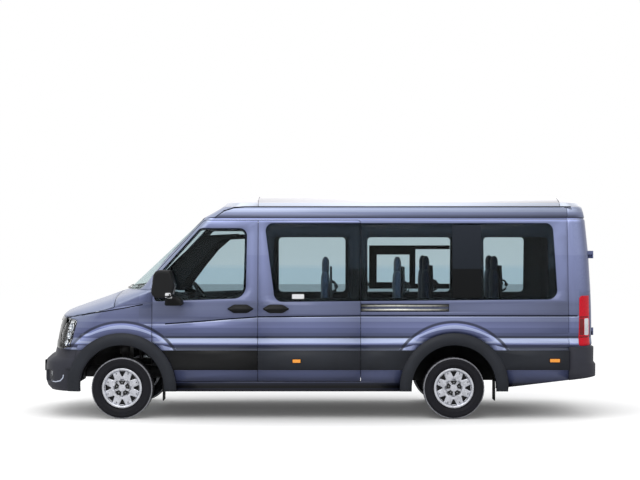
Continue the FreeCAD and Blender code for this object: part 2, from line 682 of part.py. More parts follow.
# Dark side strips and wheel arch flares, on the panels that they belong to.
proud = size["flare_stand"]
FLARE_TOP = (high + 240,) + LEVELS[7][1:]
cover_face = skin(every(LEVELS, (0, 2, 3, 7)) + [FLARE_TOP], -proud, -proud)
cover_seat = outer_form(fit)
flares = []
strips = []
for name, side in SIDES:
    y = side_span(side, half_width - 400, FAR)
    layer = cover_face.common(half_box(side, half_width - 400)).cut(cover_seat)
    opening = door_prism(y, gap)
    openings = [arch_cutter(axle, side, 500) for axle in (front_axle, rear_axle)]
    for axle in (front_axle, rear_axle):
        ring = cross_tube(axle, arch_height, flare_radius - 1, y).cut(openings)
        ring = ring.cut(box((-2 * FAR, 2 * FAR), y, (0, sill + 1)))
        flares.append(ring.common(layer))
    strip = box((front_axle, corner_x), y, (low, high))
    strip = strip.cut([cross_tube(axle, arch_height, flare_radius, y) for axle in (front_axle, rear_axle)])
    strip = strip.common(layer)
    door_strips[name] = strip.common(door_prism(y))
    strip = strip.cut(opening)
    if side == LEFT:
        on_slider = strip.common(slider_prism(y))
        strip = strip.cut(slider_prism(y, gap))
        strips += on_slider.Solids
    strips += strip.Solids
add("body_cladding", Part.makeCompound([solid for flare in flares for solid in flare.Solids] + strips))

# Expressions for the axle stations and other places, worked out by the document itself.
FRONT = "(sizes.front_overhang - sizes.wheelbase - sizes.rear_overhang) / 2"
REAR = "(sizes.front_overhang + sizes.wheelbase - sizes.rear_overhang) / 2"
RAIL_TOP = "(sizes.floor_height - sizes.floor_depth - sizes.fit_gap)"


def bind(feature, **expressions):
    """Tie properties to the sheet: x, y and z are the placement, other names are the property's own."""
    for key, text in expressions.items():
        path = "Placement.Base." + key if key in ("x", "y", "z") else key
        feature.setExpression(path, str(text))
    return feature


def block(name, x, y, z, long, wide, tall):
    """A Part::Box whose corner and sizes are expressions."""
    feature = doc.addObject("Part::Box", name)
    return bind(feature, Length=long, Width=wide, Height=tall, x=x, y=y, z=z)


def rod(name, x, y, z, radius, long, turn=None):
    """A Part::Cylinder with its foot at x, y, z; turned from the upright by a rotation."""
    feature = doc.addObject("Part::Cylinder", name)
    if turn:
        feature.Placement = FreeCAD.Placement(V(0, 0, 0), turn)
    return bind(feature, Radius=radius, Height=long, x=x, y=y, z=z)


ALONG_Y = FreeCAD.Rotation(V(1, 0, 0), -90)
AGAINST_Y = FreeCAD.Rotation(V(1, 0, 0), 90)
ALONG_X = FreeCAD.Rotation(V(0, 1, 0), 90)


def outward(side):
    return ALONG_Y if side == RIGHT else AGAINST_Y


def joined(name, pieces):
    """A Part::MultiFuse of these features, as one sub-part."""
    feature = doc.addObject("Part::MultiFuse", name)
    feature.Shapes = pieces
    return keep(feature, name)


def profile(body, corners):
    """A closed sketch on the body's XY plane. Each corner is two expressions, and the sketch keeps them."""
    sketch = body.newObject("Sketcher::SketchObject", body.Name + "_profile")
    plane = [item for item in body.Origin.OriginFeatures if item.Role == "XY_Plane"][0]
    sketch.AttachmentSupport = [(plane, "")]
    sketch.MapMode = "FlatFace"
    values = [[float(sheet.evalExpression(text)) for text in corner] for corner in corners]
    count = len(values)
    for i in range(count):
        start = V(*values[i], 0)
        end = V(*values[(i + 1) % count], 0)
        sketch.addGeometry(Part.LineSegment(start, end), False)
    for i in range(count):
        sketch.addConstraint(Sketcher.Constraint("Coincident", i, 2, (i + 1) % count, 1))
    for i, corner in enumerate(corners):
        for kind, text, value in zip(("DistanceX", "DistanceY"), corner, values[i]):
            index = sketch.addConstraint(Sketcher.Constraint(kind, -1, 1, i, 1, value))
            sketch.setExpression(f"Constraints[{index}]", text)
    return sketch


def turned(name, corners):
    """A PartDesign body: the profile revolved about the sketch's vertical axis."""
    body = keep(doc.addObject("PartDesign::Body", name), name)
    sketch = profile(body, corners)
    turn = body.newObject("PartDesign::Revolution", name + "_turn")
    turn.Profile = sketch
    turn.ReferenceAxis = (sketch, ["V_Axis"])
    turn.Angle = 360
    sketch.Visibility = False
    return body


# Sections of tyre and rim: radius, and distance from the wheel's middle plane, outwards positive.
TYRE_SECTION = [
    (size["rim_radius"] + fit, 17 - size["rim_depth"] / 2), (size["rim_radius"] + 24, 10 - size["rim_depth"] / 2),
    (size["rim_radius"] + 78, -size["tyre_width"] / 2), (size["tyre_radius"] - 22, 8 - size["tyre_width"] / 2),
    (size["tyre_radius"], 41 - size["tyre_width"] / 2),
]
RIM_SECTION = [
    ("sizes.stub_radius + 1", "22"), ("88", "22"), ("104", "44"), ("sizes.rim_radius - 20", "40"),
    ("sizes.rim_radius - 16", "-sizes.rim_depth / 2"), ("sizes.rim_radius + 16", "-sizes.rim_depth / 2"),
    ("sizes.rim_radius + 16", "-sizes.rim_depth / 2 + 9"), ("sizes.rim_radius", "-sizes.rim_depth / 2 + 14"),
    ("sizes.rim_radius", "sizes.rim_depth / 2 - 14"), ("sizes.rim_radius + 16", "sizes.rim_depth / 2 - 9"),
    ("sizes.rim_radius + 16", "sizes.rim_depth / 2"), ("sizes.rim_radius - 8", "sizes.rim_depth / 2 - 2"),
    ("sizes.rim_radius - 20", "62"), ("108", "64"), ("86", "48"), ("78", "66"), ("sizes.stub_radius + 1", "72"),
]


def faceted_ring(section, sides, centre):
    """A ring of flat facets round a wheel's axis, its section mirrored, and its bore no smaller than a round one."""
    bore = min(radius for radius, across in section)
    ring = section + [(radius, -across) for radius, across in reversed(section)]
    rows = []
    for radius, across in ring:
        reach = radius / math.cos(math.pi / sides) if radius == bore else radius
        turns = [2 * math.pi * k / sides for k in range(sides)]
        rows.append([centre + V(reach * math.cos(turn), across, reach * math.sin(turn)) for turn in turns])
    faces = []
    for row, after in zip(rows, rows[1:] + rows[:1]):
        for k in range(sides):
            beside = (k + 1) % sides
            faces.append(Part.Face(Part.makePolygon([row[k], row[beside], after[beside], after[k], row[k]])))
    solid = Part.Solid(Part.makeShell(faces))
    if solid.Volume < 0:
        solid.reverse()
    return solid


def wheel(name, station, side):
    """One tyre and its rim, whose middle planes stand at half the track."""
    spin = FreeCAD.Rotation(V(0, 0, 1), 0 if side == RIGHT else 180)
    middle = V(float(sheet.evalExpression(station)), side * size["half_track"], size["tyre_radius"])
    add("tyre_" + name, faceted_ring(TYRE_SECTION, int(size["tyre_facets"]), middle))
    rim = turned("rim_" + name, RIM_SECTION)
    cut = rim.newObject("Sketcher::SketchObject", rim.Name + "_window")
    plane = [item for item in rim.Origin.OriginFeatures if item.Role == "XZ_Plane"][0]
    cut.AttachmentSupport = [(plane, "")]
    cut.MapMode = "FlatFace"
    corners = [("132", "7"), ("sizes.rim_radius - 22", "37"), ("sizes.rim_radius - 22", "-37"), ("132", "-7")]
    values = [[float(sheet.evalExpression(text)) for text in corner] for corner in corners]
    for i in range(4):
        cut.addGeometry(Part.LineSegment(V(*values[i], 0), V(*values[(i + 1) % 4], 0)), False)
    for i in range(4):
        cut.addConstraint(Sketcher.Constraint("Coincident", i, 2, (i + 1) % 4, 1))
    for i, corner in enumerate(corners):
        for kind, text, value in zip(("DistanceX", "DistanceY"), corner, values[i]):
            index = cut.addConstraint(Sketcher.Constraint(kind, -1, 1, i, 1, value))
            cut.setExpression(f"Constraints[{index}]", text)
    pocket = rim.newObject("PartDesign::Pocket", rim.Name + "_pocket")
    pocket.Profile = cut
    pocket.Type = "ThroughAll"
    pocket.Midplane = True
    ring = rim.newObject("PartDesign::PolarPattern", rim.Name + "_ring")
    ring.Originals = [pocket]
    ring.Axis = (cut, ["N_Axis"])
    ring.Angle = 360
    bind(ring, Occurrences="sizes.rim_spokes")
    rim.Tip = ring
    cut.Visibility = False
    rim.Placement = FreeCAD.Placement(V(0, 0, 0), spin)
    bind(rim, x=station, y=f"{side} * sizes.half_track", z="sizes.tyre_radius")


for end, station in (("front", FRONT), ("rear", REAR)):
    for name, side in SIDES:
        wheel(end + "_" + name, station, side)

# Steering knuckles: king pin, upright, brake and stub axle.
for name, side in SIDES:
    turn = outward(side)
    pin_y = f"{side} * sizes.king_pin"
    pieces = [
        rod("king_pin_" + name, FRONT, pin_y, "205", "24", "390"),
        block("upright_" + name, FRONT + " - 34", f"{side} * (sizes.king_pin + 22) - 24",
              "sizes.tyre_radius - 130", "68", "48", "260"),
        rod("brake_" + name, FRONT, f"{side} * (sizes.king_pin + 45)", "sizes.tyre_radius", "150", "42", turn),
        rod("stub_" + name, FRONT, f"{side} * (sizes.king_pin + 80)", "sizes.tyre_radius", "sizes.stub_radius",
            "sizes.half_track + 66 - sizes.king_pin - 80", turn),
    ]
    joined("knuckle_" + name, pieces)

# Front suspension: cross beam between the rails, lower arms, struts and springs.
pieces = [
    block("cross_beam", FRONT + " - 60", "-sizes.rail_spacing - 40", "145", "120",
          "2 * sizes.rail_spacing + 80", "60"),
]
for name, side in SIDES:
    pieces += [
        block("beam_leg_" + name, FRONT + " - 60", f"{side} * sizes.rail_spacing - 40", "145", "120", "80",
              "294.7"),
        block("arm_" + name, FRONT + " - 34", f"{side} * (sizes.rail_spacing + sizes.king_pin) / 2 - 140",
              "150", "68", "280", "45"),
        rod("ball_" + name, FRONT, f"{side} * sizes.king_pin", "150", "30", "54.7"),
    ]
joined("front_beam", pieces)
struts = []
for name, side in SIDES:
    struts += [
        rod("strut_" + name, FRONT, f"{side} * sizes.king_pin", "595 + sizes.fit_gap", "30", "262"),
        rod("spring_" + name, FRONT, f"{side} * sizes.king_pin", "738", "62", "119"),
    ]
joined("front_struts", struts)

# Rear axle: tube, brakes, stub axles and leaf springs with their shackles.
pieces = [
    rod("axle_tube", REAR, "-sizes.half_track + 110", "sizes.tyre_radius", "48", "2 * sizes.half_track - 220",
        ALONG_Y),
    doc.addObject("Part::Sphere", "differential"),
]
bind(pieces[1], Radius="105", x=REAR, z="sizes.tyre_radius")
for name, side in SIDES:
    turn = outward(side)
    pieces += [
        rod("rear_brake_" + name, REAR, f"{side} * (sizes.half_track - 115)", "sizes.tyre_radius", "150", "42", turn),
        rod("rear_stub_" + name, REAR, f"{side} * (sizes.half_track - 80)", "sizes.tyre_radius",
            "sizes.stub_radius", "146", turn),
        block("leaf_" + name, REAR + " - 600", f"{side} * sizes.rail_spacing - 32", "sizes.tyre_radius + 40",
              "1200", "64", "20"),
    ]
    for number, shift in enumerate((-600, 540)):
        pieces.append(block(f"shackle_{name}_{number}", f"{REAR} + {shift}",
                            f"{side} * sizes.rail_spacing - 32", "sizes.tyre_radius + 50", "60", "64",
                            f"{RAIL_TOP} - sizes.rail_depth - sizes.fit_gap - sizes.tyre_radius - 50"))
joined("rear_axle", pieces)

# Chassis: two rails with cross members seated between them, trimmed to the inside of the body.
inside = skin(
    every(LEVELS, PLAIN), size["wall"] + fit, size["nose_wall"] + fit, size["wall"] + fit, size["roof_wall"] + fit
)
rail_top = size["floor_height"] - size["floor_depth"] - fit
rail_foot = rail_top - size["rail_depth"]
rail_near = size["rail_spacing"] - size["rail_width"] / 2
rail_far = size["rail_spacing"] + size["rail_width"] / 2
chassis = [
    box((nose, tail), side_span(side, rail_near, rail_far), (rail_foot, rail_top)).common(inside)
    for side in (LEFT, RIGHT)
]
CROSS_MEMBERS = (
    nose + 330, front_axle - 60, front_axle + 720, door_rear + 100, rear_axle - 965, rear_axle - 400,
    rear_axle + 700, tail - 215,
)
for x in CROSS_MEMBERS:
    chassis.append(box((x, x + 90), (fit - rail_near, rail_near - fit), (rail_top - 120, rail_top - 40)))
add("chassis_rails", Part.makeCompound(chassis))

# Floor, bulkhead and wheel liners.
liner_gap = size["arch_radius"] + 10


def arches(radius, near=(560, 700)):
    """Cylinders round both axles, on both sides, from their inner walls outwards."""
    return [
        cross_tube(axle, arch_height, radius, side_span(side, inner_face, half_width))
        for axle, inner_face in zip((front_axle, rear_axle), near) for side in (LEFT, RIGHT)
    ]


floor_top = size["floor_height"]
floor = box((front_axle + 305, tail), ACROSS, (floor_top - size["floor_depth"], floor_top))
floor = floor.common(inside).cut(arches(liner_gap + fit + 2, (558 - fit, 698 - fit)))
add("floor_pan", floor)
bulkhead = box((front_axle + 285, front_axle + 305 - fit), ACROSS, (rail_top + fit, belt - 60))
bulkhead = bulkhead.common(inside).cut(arches(liner_gap + fit + 2, (558 - fit, 698 - fit)))
add("bulkhead", bulkhead)
liners = []
for axle, inner_face in ((front_axle, 560), (rear_axle, 700)):
    for side in (LEFT, RIGHT):
        y = side_span(side, inner_face, half_width)
        hollow = side_span(side, inner_face + (8 if axle == rear_axle else -1), half_width)
        arc = cross_tube(axle, arch_height, liner_gap, y).cut(cross_tube(axle, arch_height, liner_gap - 8, hollow))
        arc = arc.common(inside)
        arc = arc.cut(box((axle - 600, axle + 600), y, (0, 430)))
        flap = box((axle + 470, axle + 482), side_span(side, 745, half_width - 70), (size["flap_foot"], 445))
        bracket = box((axle + 470, axle + 495), side_span(side, 745, 870), (430, 445))
        liners.append(arc.fuse([flap, bracket]))
add("wheel_liners", Part.makeCompound([solid for liner in liners for solid in liner.Solids]))

# Engine as one plain block, fuel tank and exhaust, all hung from the chassis.
engine = block("engine", FRONT + " - 560", "-280", RAIL_TOP + " - 40 + sizes.fit_gap", "520", "560", "440")
keep(engine, "engine")
UNDER_RAIL = f"{RAIL_TOP} - 120 - sizes.fit_gap"
tank = block("fuel_tank", REAR + " - 2900", "-370", UNDER_RAIL + " - sizes.tank_depth", "1150", "430",
             "sizes.tank_depth")
keep(tank, "fuel_tank")
PIPE_HEIGHT = UNDER_RAIL + " - sizes.silencer_radius"
joined("exhaust", [
    rod("silencer", REAR + " - 2600", "190", PIPE_HEIGHT, "sizes.silencer_radius", "700", ALONG_X),
    rod("front_pipe", REAR + " - 3900", "190", PIPE_HEIGHT, "30", "1310", ALONG_X),
    rod("tail_pipe", REAR + " - 2205", "190", PIPE_HEIGHT, "30", "1400", ALONG_X),
])

# Towing eyes: a level lug under the right rail near either end, with its upright bore beside the rail.
eyes = []
lug_top = rail_foot - fit
eye_y = rail_far + 50
for x in (nose + 240, rear_axle + 700):
    lug = box((x - 42, x + 42), (rail_near + 10, eye_y), (lug_top - size["lug_thick"], lug_top))
    lug = lug.fuse(Part.makeCylinder(42, size["lug_thick"], V(x, eye_y, lug_top - size["lug_thick"])))
    foot = V(x, eye_y, lug_top - 1.5 * size["lug_thick"])
    bore = Part.makeCylinder(size["eye_bore"] / 2, 2 * size["lug_thick"], foot)
    eyes.append(lug.cut(bore).removeSplitter())
add("tow_eyes", Part.makeCompound(eyes))

# Dashboard across the cab, with a steering column towards the driver on the right.
driver_y = 470
dash_x = front_axle + 305
column_turn = math.radians(35)
dash_profile = [
    (dash_x, belt - 250), (dash_x + 240, belt - 300, 30), (dash_x + 330, belt - 120, 40),
    (dash_x + 290, belt - 20, 50), (dash_x + 120, belt + 50, 40), (dash_x, belt - 10),
]
dash = side_prism(dash_profile, ACROSS).common(skin(every(LEVELS, PLAIN), size["wall"] + 4, 0, 0))
hub = V(dash_x + 505, driver_y, belt + 15)
lean = V(math.cos(column_turn), 0, math.sin(column_turn))
column_foot = hub - lean * 300
column = Part.makeCylinder(34, 270 - fit, column_foot, lean)
add("dashboard", dash.fuse(column))

wheel_ring = Part.makeTorus(195, 16, hub, lean)
spokes = Part.makeCylinder(48, 34, hub - lean * 30, lean)
for degrees in (0, 120, 240):
    arm = Part.makeBox(190, 34, 14, V(0, -17, -7))
    arm.rotate(V(0, 0, 0), V(0, 0, 1), degrees + 90)
    arm.rotate(V(0, 0, 0), V(0, 1, 0), 90 - math.degrees(column_turn))
    arm.translate(hub)
    spokes = spokes.fuse(arm)
add("steering_wheel", wheel_ring.fuse(spokes).removeSplitter())


def seat(x, y, wide):
    """A seat whose back's upper end stands at x: cushion, leaning back and foot in one piece."""
    top = size["floor_height"] + fit
    cushion = top + size["seat_rise"]
    body = side_prism(
        [
            (x - 560, cushion - 100, 30), (x - 560, cushion, 40), (x - 175, cushion - 30, 20),
            (x - 80, cushion + size["back_rise"], 45), (x + 15, cushion + size["back_rise"], 45),
            (x - 60, cushion - 100, 30),
        ],
        (y - wide / 2, y + wide / 2),
    )
    front_view = [
        (y - wide / 2, top, 10), (y + wide / 2, top, 10), (y + wide / 2 - 4, cushion + 500, 200),
        (y + wide / 2 - 60, cushion + size["back_rise"] + 1, 110),
        (y - wide / 2 + 60, cushion + size["back_rise"] + 1, 110), (y - wide / 2 + 4, cushion + 500, 200),
    ]
    if wide > 1.5 * size["seat_width"]:
        crown = cushion + size["back_rise"] + 1
        front_view = [
            (y - wide / 2, top, 10), (y + wide / 2, top, 10), (y + wide / 2, crown, 110), (y - wide / 2, crown, 110),
        ]
    body = body.common(end_prism(front_view, (x - 700, x + 100)))
    feet = (max(y - wide / 2 + 40, -690), min(y + wide / 2 - 40, 690))
    leg = box((x - 430, x - 180), feet, (top, cushion - 60))
    return body.fuse(leg).removeSplitter()


front_seat_x = door_rear - 60
cabin_seats = []
for row in range(3):
    shift = row * size["row_pitch"]
    outer_seat = half_width - 140 - size["seat_width"] / 2
    cabin_seats.append(seat(rear_axle - 1415 + shift, -outer_seat, size["seat_width"]))
    for place in (0, 1):
        y = outer_seat - place * (size["seat_width"] + 15)
        cabin_seats.append(seat(rear_axle - 1015 + shift, y, size["seat_width"]))
add("passenger_seats", Part.makeCompound(cabin_seats))
front_seats = [
    seat(front_seat_x, driver_y, size["seat_width"] + 40),
    seat(front_seat_x, 70 - driver_y, 2 * size["seat_width"] - 60),
]
add("front_seats", Part.makeCompound(front_seats))

# Guide rail of the sliding door, two strips in the recess of the left side.
rail_strips = []
for z in (rail_low + 8, rail_high - 34):
    strip = box((slider_rear + 4, slider_rear + 1016), (-FAR, 0), (z, z + 26))
    strip = strip.common(skin(every(LEVELS, WAIST), 12))
    rail_strips.append(strip.cut(skin(every(LEVELS, WAIST), 34 - fit)))
add("door_rail", Part.makeCompound(rail_strips))


HANDLE_Z = belt - 80
handle_seat = skin(every(LEVELS, WAIST), -fit)
handle_face = skin(every(LEVELS, WAIST), -5)


def lens_outline(x, z, long, tall):
    """An eye-shaped outline, pointed at both ends."""
    near, far = x + long / 4, x + 3 * long / 4
    return [
        (x, z, tall / 12), (near, z - tall / 2, long / 4), (far, z - tall / 2, long / 4),
        (x + long, z, tall / 12), (far, z + tall / 2, long / 4), (near, z + tall / 2, long / 4),
    ]


def handle(x, side):
    """A door handle: an eye-shaped cup plate on the skin, with the pull bar along its middle."""
    long = size["handle_long"]
    tall = size["handle_tall"]
    plate = side_prism(lens_outline(x, HANDLE_Z, long, tall), side_span(side, half_width - 60, half_width + 30))
    plate = plate.common(handle_face)
    bar = side_prism(
        lens_outline(x + long / 14, HANDLE_Z, long - long / 7, tall / 2.4),
        side_span(side, half_width - 60, half_width + size["handle_stand"]),
    )
    return plate.fuse(bar).cut(handle_seat).removeSplitter()


def rim_edges(prism):
    """The edges of a prism's two end faces, which lie in planes of constant Y."""
    return [edge for edge in prism.Edges if edge.BoundBox.YLength < 0.001]


def mirror(side):
    """The outside mirror: head, and the arm that carries it."""
    y = side_span(side, half_width + 45, half_width + 285)
    head = side_prism(
        [
            (door_front + 20, belt + 120, 40), (door_front + 60, belt + 55, 40), (door_front + 255, belt + 55, 60),
            (door_front + 290, belt + 200, 60), (door_front + 240, belt + 374, 60), (door_front + 60, belt + 374, 70),
        ],
        y,
    )
    arm = side_prism(
        [
            (door_front + 160, belt - 35, 20), (door_front + 370, belt - 35, 20),
            (door_front + 350, belt + 40, 30), (door_front + 240, belt + 90, 30), (door_front + 180, belt + 90, 20),
        ],
        side_span(side, half_width - 60, half_width + 150),
    ).cut(skin(every(LEVELS, WAIST), -fit))
    head = head.makeFillet(size["mirror_round"], rim_edges(head))
    return head.fuse(arm).removeSplitter()


for name, side in SIDES:
    solids = door_strips[name].Solids + [mirror(side), handle(door_rear - 355, side)]
    add("front_door_trim_" + name, Part.makeCompound(solids))
add("slider_handle", handle(door_rear + 54, LEFT))

doc.recompute()
for item in doc.Objects:
    if "Invalid" in item.State or "Error" in item.State:
        raise RuntimeError(f"{item.Label} did not compute")

os.makedirs("parts", exist_ok=True)
for node in NODES:
    if node.Shape.isNull() or not node.Shape.isValid():
        raise RuntimeError(f"{node.Label} has no valid shape")
    node.Shape.exportStep(f"parts/{node.Label}.step")
print(len(NODES), "sub-parts")
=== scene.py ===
"""The minibus dressed for the photograph: paint, glass, lamps, tyres, trim and cabin round the CAD frame."""
import bpy
import bmesh
import functools
import math
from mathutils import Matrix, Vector
from mathutils.bvhtree import BVHTree


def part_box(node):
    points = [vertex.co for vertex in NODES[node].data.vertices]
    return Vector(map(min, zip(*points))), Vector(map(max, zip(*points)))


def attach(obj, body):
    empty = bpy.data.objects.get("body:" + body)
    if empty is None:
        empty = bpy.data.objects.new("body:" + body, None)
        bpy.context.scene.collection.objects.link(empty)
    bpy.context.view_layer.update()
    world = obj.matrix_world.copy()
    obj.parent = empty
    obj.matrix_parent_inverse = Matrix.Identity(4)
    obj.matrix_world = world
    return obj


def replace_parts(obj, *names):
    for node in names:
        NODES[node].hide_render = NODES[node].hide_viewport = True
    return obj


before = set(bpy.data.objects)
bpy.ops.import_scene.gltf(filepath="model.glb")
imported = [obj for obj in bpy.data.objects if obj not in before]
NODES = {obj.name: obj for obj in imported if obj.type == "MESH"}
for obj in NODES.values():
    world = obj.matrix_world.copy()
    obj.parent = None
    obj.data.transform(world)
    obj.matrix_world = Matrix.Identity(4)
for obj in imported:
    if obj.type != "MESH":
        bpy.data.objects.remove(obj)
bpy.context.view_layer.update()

LEFT, RIGHT = -1, 1
SIDES = (("left", LEFT), ("right", RIGHT))
ENDS = ("front", "rear")

# Stations in metres, taken from the frame, and heights that the side view repeats.
TYRE_LOW, TYRE_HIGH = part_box("tyre_front_left")
REAR_LOW, REAR_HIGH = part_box("tyre_rear_left")
TYRE_RADIUS = (TYRE_HIGH[0] - TYRE_LOW[0]) / 2
TYRE_HALF = (TYRE_HIGH[1] - TYRE_LOW[1]) / 2
FRONT_AXLE = (TYRE_HIGH[0] + TYRE_LOW[0]) / 2
REAR_AXLE = (REAR_HIGH[0] + REAR_LOW[0]) / 2
HALF_TRACK = -(TYRE_HIGH[1] + TYRE_LOW[1]) / 2
DOOR_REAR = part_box("front_door_left")[1][0]
SLIDER_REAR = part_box("sliding_door")[1][0]
BELT = 1.358
GUTTER = 2.462
SIDE_HEIGHT = 2.6
GROOVE_LINE = [
    (FRONT_AXLE + 0.505, BELT - 0.254), (FRONT_AXLE + 0.91, BELT - 0.225), (DOOR_REAR - 0.315, BELT - 0.196),
    (DOOR_REAR, BELT - 0.173), (SLIDER_REAR, BELT - 0.162), (REAR_AXLE + 1.429, BELT - 0.162),
]
# Painted light and shade on the side's paint, by height: the sill darkened by painted shade, painted shade in the
# crease over the strip, a painted highlight on the shoulder, and painted highlights and shade at the belt, pillars and
# gutter.
SIDE_PAINTED_LIGHT = [
    (0.0, 0.01), (0.38, 0.02), (0.43, 0.5), (0.5, 1.15), (0.57, 1.4), (0.8, 1.2), (0.806, 0.25), (0.822, 0.25),
    (0.832, 1.1), (0.86, 2.2), (0.925, 2.4), (0.936, 1.6), (0.94, 0.22), (0.957, 0.22), (0.967, 1.25), (1.06, 1.45),
    (1.2, 0.92), (1.34, 0.92), (1.38, 1.2), (1.7, 1.55), (1.95, 1.7), (2.28, 1.8), (2.305, 3.3), (2.325, 3.3),
    (2.332, 0.4), (2.35, 0.45), (2.37, 0.9), (2.42, 1.7), (2.455, 2.4),
]
# Painted light round the arches by distance from the axle: the swelling, a painted highlight on its crown and painted
# shade along its edge.
ARCH_HEIGHT = 0.37
ARCH_REACH = 0.775
ARCH_PAINTED_LIGHT = [
    (0.0, 1.0), (0.62, 0.9), (0.65, 1.2), (0.7, 1.7), (0.735, 2.4), (0.745, 0.35), (0.765, 0.35), (ARCH_REACH, 1.0),
]
STRIP_TOP = 0.8
# Painted highlight on the side close under its groove, by the share of a span of heights that ends just over the
# groove.
GROOVE_SPAN = (-0.13, 0.02)
GROOVE_PAINTED_HIGHLIGHT = [
    (0.0, (1, 1, 1, 1)), (0.35, (1, 1, 1, 1)), (0.72, (1.5, 1.5, 1.45, 1)), (0.8, (3.0, 2.9, 2.3, 1)),
    (0.84, (3.0, 2.9, 2.3, 1)), (0.87, (1, 1, 1, 1)),
]
# Heights between which the window glass and its dark borders change their tint, a painted reflection, and where the
# roof turns pale with a painted sky reflection.
GLASS_SPAN = (1.3, 2.4)
ROOF_SPAN = (2.4, 2.49)
# How squarely a face looks sideways before the side's painted light and shade show on it, at first and in full.
SIDEWAYS = (0.72, 0.95)


# Materials. Colours are given as the eye's 0 to 255.
def linear(red, green, blue):
    """A colour as the shader's linear numbers."""
    def one(value):
        value = value / 255
        return value / 12.92 if value <= 0.04045 else ((value + 0.055) / 1.055) ** 2.4
    return (one(red), one(green), one(blue), 1.0)


def material(name, colour, roughness=0.5, metallic=0.0, coat=0.0, transmission=0.0, ior=1.45, emission=0.0, shine=0.5):
    """A principled material."""
    made = bpy.data.materials.new(name)
    made.use_nodes = True
    shader = made.node_tree.nodes["Principled BSDF"]
    settings = {
        "Base Color": linear(*colour), "Roughness": roughness, "Metallic": metallic, "Coat Weight": coat,
        "Coat Roughness": 0.04, "Transmission Weight": transmission, "IOR": ior, "Specular IOR Level": shine,
    }
    if emission:
        settings.update({"Emission Color": linear(*colour), "Emission Strength": emission})
    for place, value in settings.items():
        shader.inputs[place].default_value = value
    return made


def new_object(name, data):
    """A new object in the scene."""
    thing = bpy.data.objects.new(name, data)
    bpy.context.scene.collection.objects.link(thing)
    return thing


def empty_tree(owner):
    """The node tree of a material or world, emptied."""
    owner.use_nodes = True
    owner.node_tree.nodes.clear()
    return owner.node_tree


def add_node(tree, kind, inputs=None, **settings):
    """A new shader node. Each of its inputs is a constant or the socket that feeds it."""
    made = tree.nodes.new("ShaderNode" + kind)
    for key, value in settings.items():
        setattr(made, key, value)
    for place, value in (inputs or {}).items():
        if isinstance(value, bpy.types.NodeSocket):
            tree.links.new(value, made.inputs[place])
        else:
            made.inputs[place].default_value = value
    return made


def counted(tree, operation, *values):
    """The result of an operation on numbers and sockets."""
    return add_node(tree, "Math", dict(enumerate(values)), operation=operation).outputs[0]


def spanned(tree, source, low, high, to_low=0.0, to_high=1.0, **settings):
    """A socket's numbers between low and high, brought to another span."""
    inputs = {"Value": source, "From Min": low, "From Max": high, "To Min": to_low, "To Max": to_high}
    return add_node(tree, "MapRange", inputs, **settings).outputs[0]


def blended(tree, share, first, second, **settings):
    """Two colours mixed by a share."""
    return add_node(tree, "Mix", {0: share, 6: first, 7: second}, data_type="RGBA", **settings).outputs[2]


def multiplied(tree, first, second, share=1.0):
    """Two colours multiplied, wholly or by a share."""
    return blended(tree, share, first, second, blend_type="MULTIPLY")


def own_place(tree):
    """The object's own coordinates."""
    return add_node(tree, "TexCoord").outputs["Object"]


def grain(tree, scale, stretch=(1, 1, 1), detail=4.0):
    """A noise over the object's own coordinates."""
    turned = add_node(tree, "Mapping", {"Vector": own_place(tree), "Scale": stretch}).outputs["Vector"]
    return add_node(tree, "TexNoise", {"Vector": turned, "Scale": scale, "Detail": detail}).outputs["Fac"]


def ramp(tree, source, stops):
    """A colour ramp fed by a socket; stops are position and colour."""
    made = add_node(tree, "ValToRGB", {0: source})
    while len(made.color_ramp.elements) < len(stops):
        made.color_ramp.elements.new(0.5)
    for element, (place, colour) in zip(made.color_ramp.elements, stops):
        element.position = place
        element.color = colour
    return made.outputs[0]


def relief(tree, height, strength, distance):
    """The normals of a raised height."""
    return add_node(tree, "Bump", {"Height": height, "Strength": strength, "Distance": distance}).outputs["Normal"]


def feed(made, place, socket):
    """Links a socket to an input of a material's shader."""
    tree = made.node_tree
    tree.links.new(socket, tree.nodes["Principled BSDF"].inputs[place])


def worn(made, scale, spread=0.08, rough=0.06, depth=0.0, stretch=(1, 1, 1), fine=0.0):
    """Gives a material its variation in shade and roughness, and where depth is above 0 its raised grain."""
    tree = made.node_tree
    shader = tree.nodes["Principled BSDF"]
    noise = grain(tree, scale, stretch)
    base = shader.inputs["Base Color"].default_value[:3]
    shades = [tuple(min(1.0, value * (1 + way * 2.5 * spread)) for value in base) + (1.0,) for way in (-1, 1)]
    feed(made, "Base Color", ramp(tree, noise, list(zip((0.3, 0.7), shades))))
    level = shader.inputs["Roughness"].default_value
    feed(made, "Roughness", spanned(tree, noise, 0.3, 0.7, max(0.0, level - rough), min(1.0, level + rough)))
    if depth:
        feed(made, "Normal", relief(tree, grain(tree, fine or scale, stretch), 0.5, depth))
    return made


def by_height(made, stops):
    """Colours a material by height within the glass span, which paints a reflection across the glass: stops are metres
    and colours.
    """
    tree = made.node_tree
    low, high = GLASS_SPAN
    height = add_node(tree, "SeparateXYZ", {0: own_place(tree)}).outputs["Z"]
    stops = [((z - low) / (high - low), linear(*colour)) for z, colour in stops]
    feed(made, "Base Color", ramp(tree, spanned(tree, height, low, high), stops))
    return made


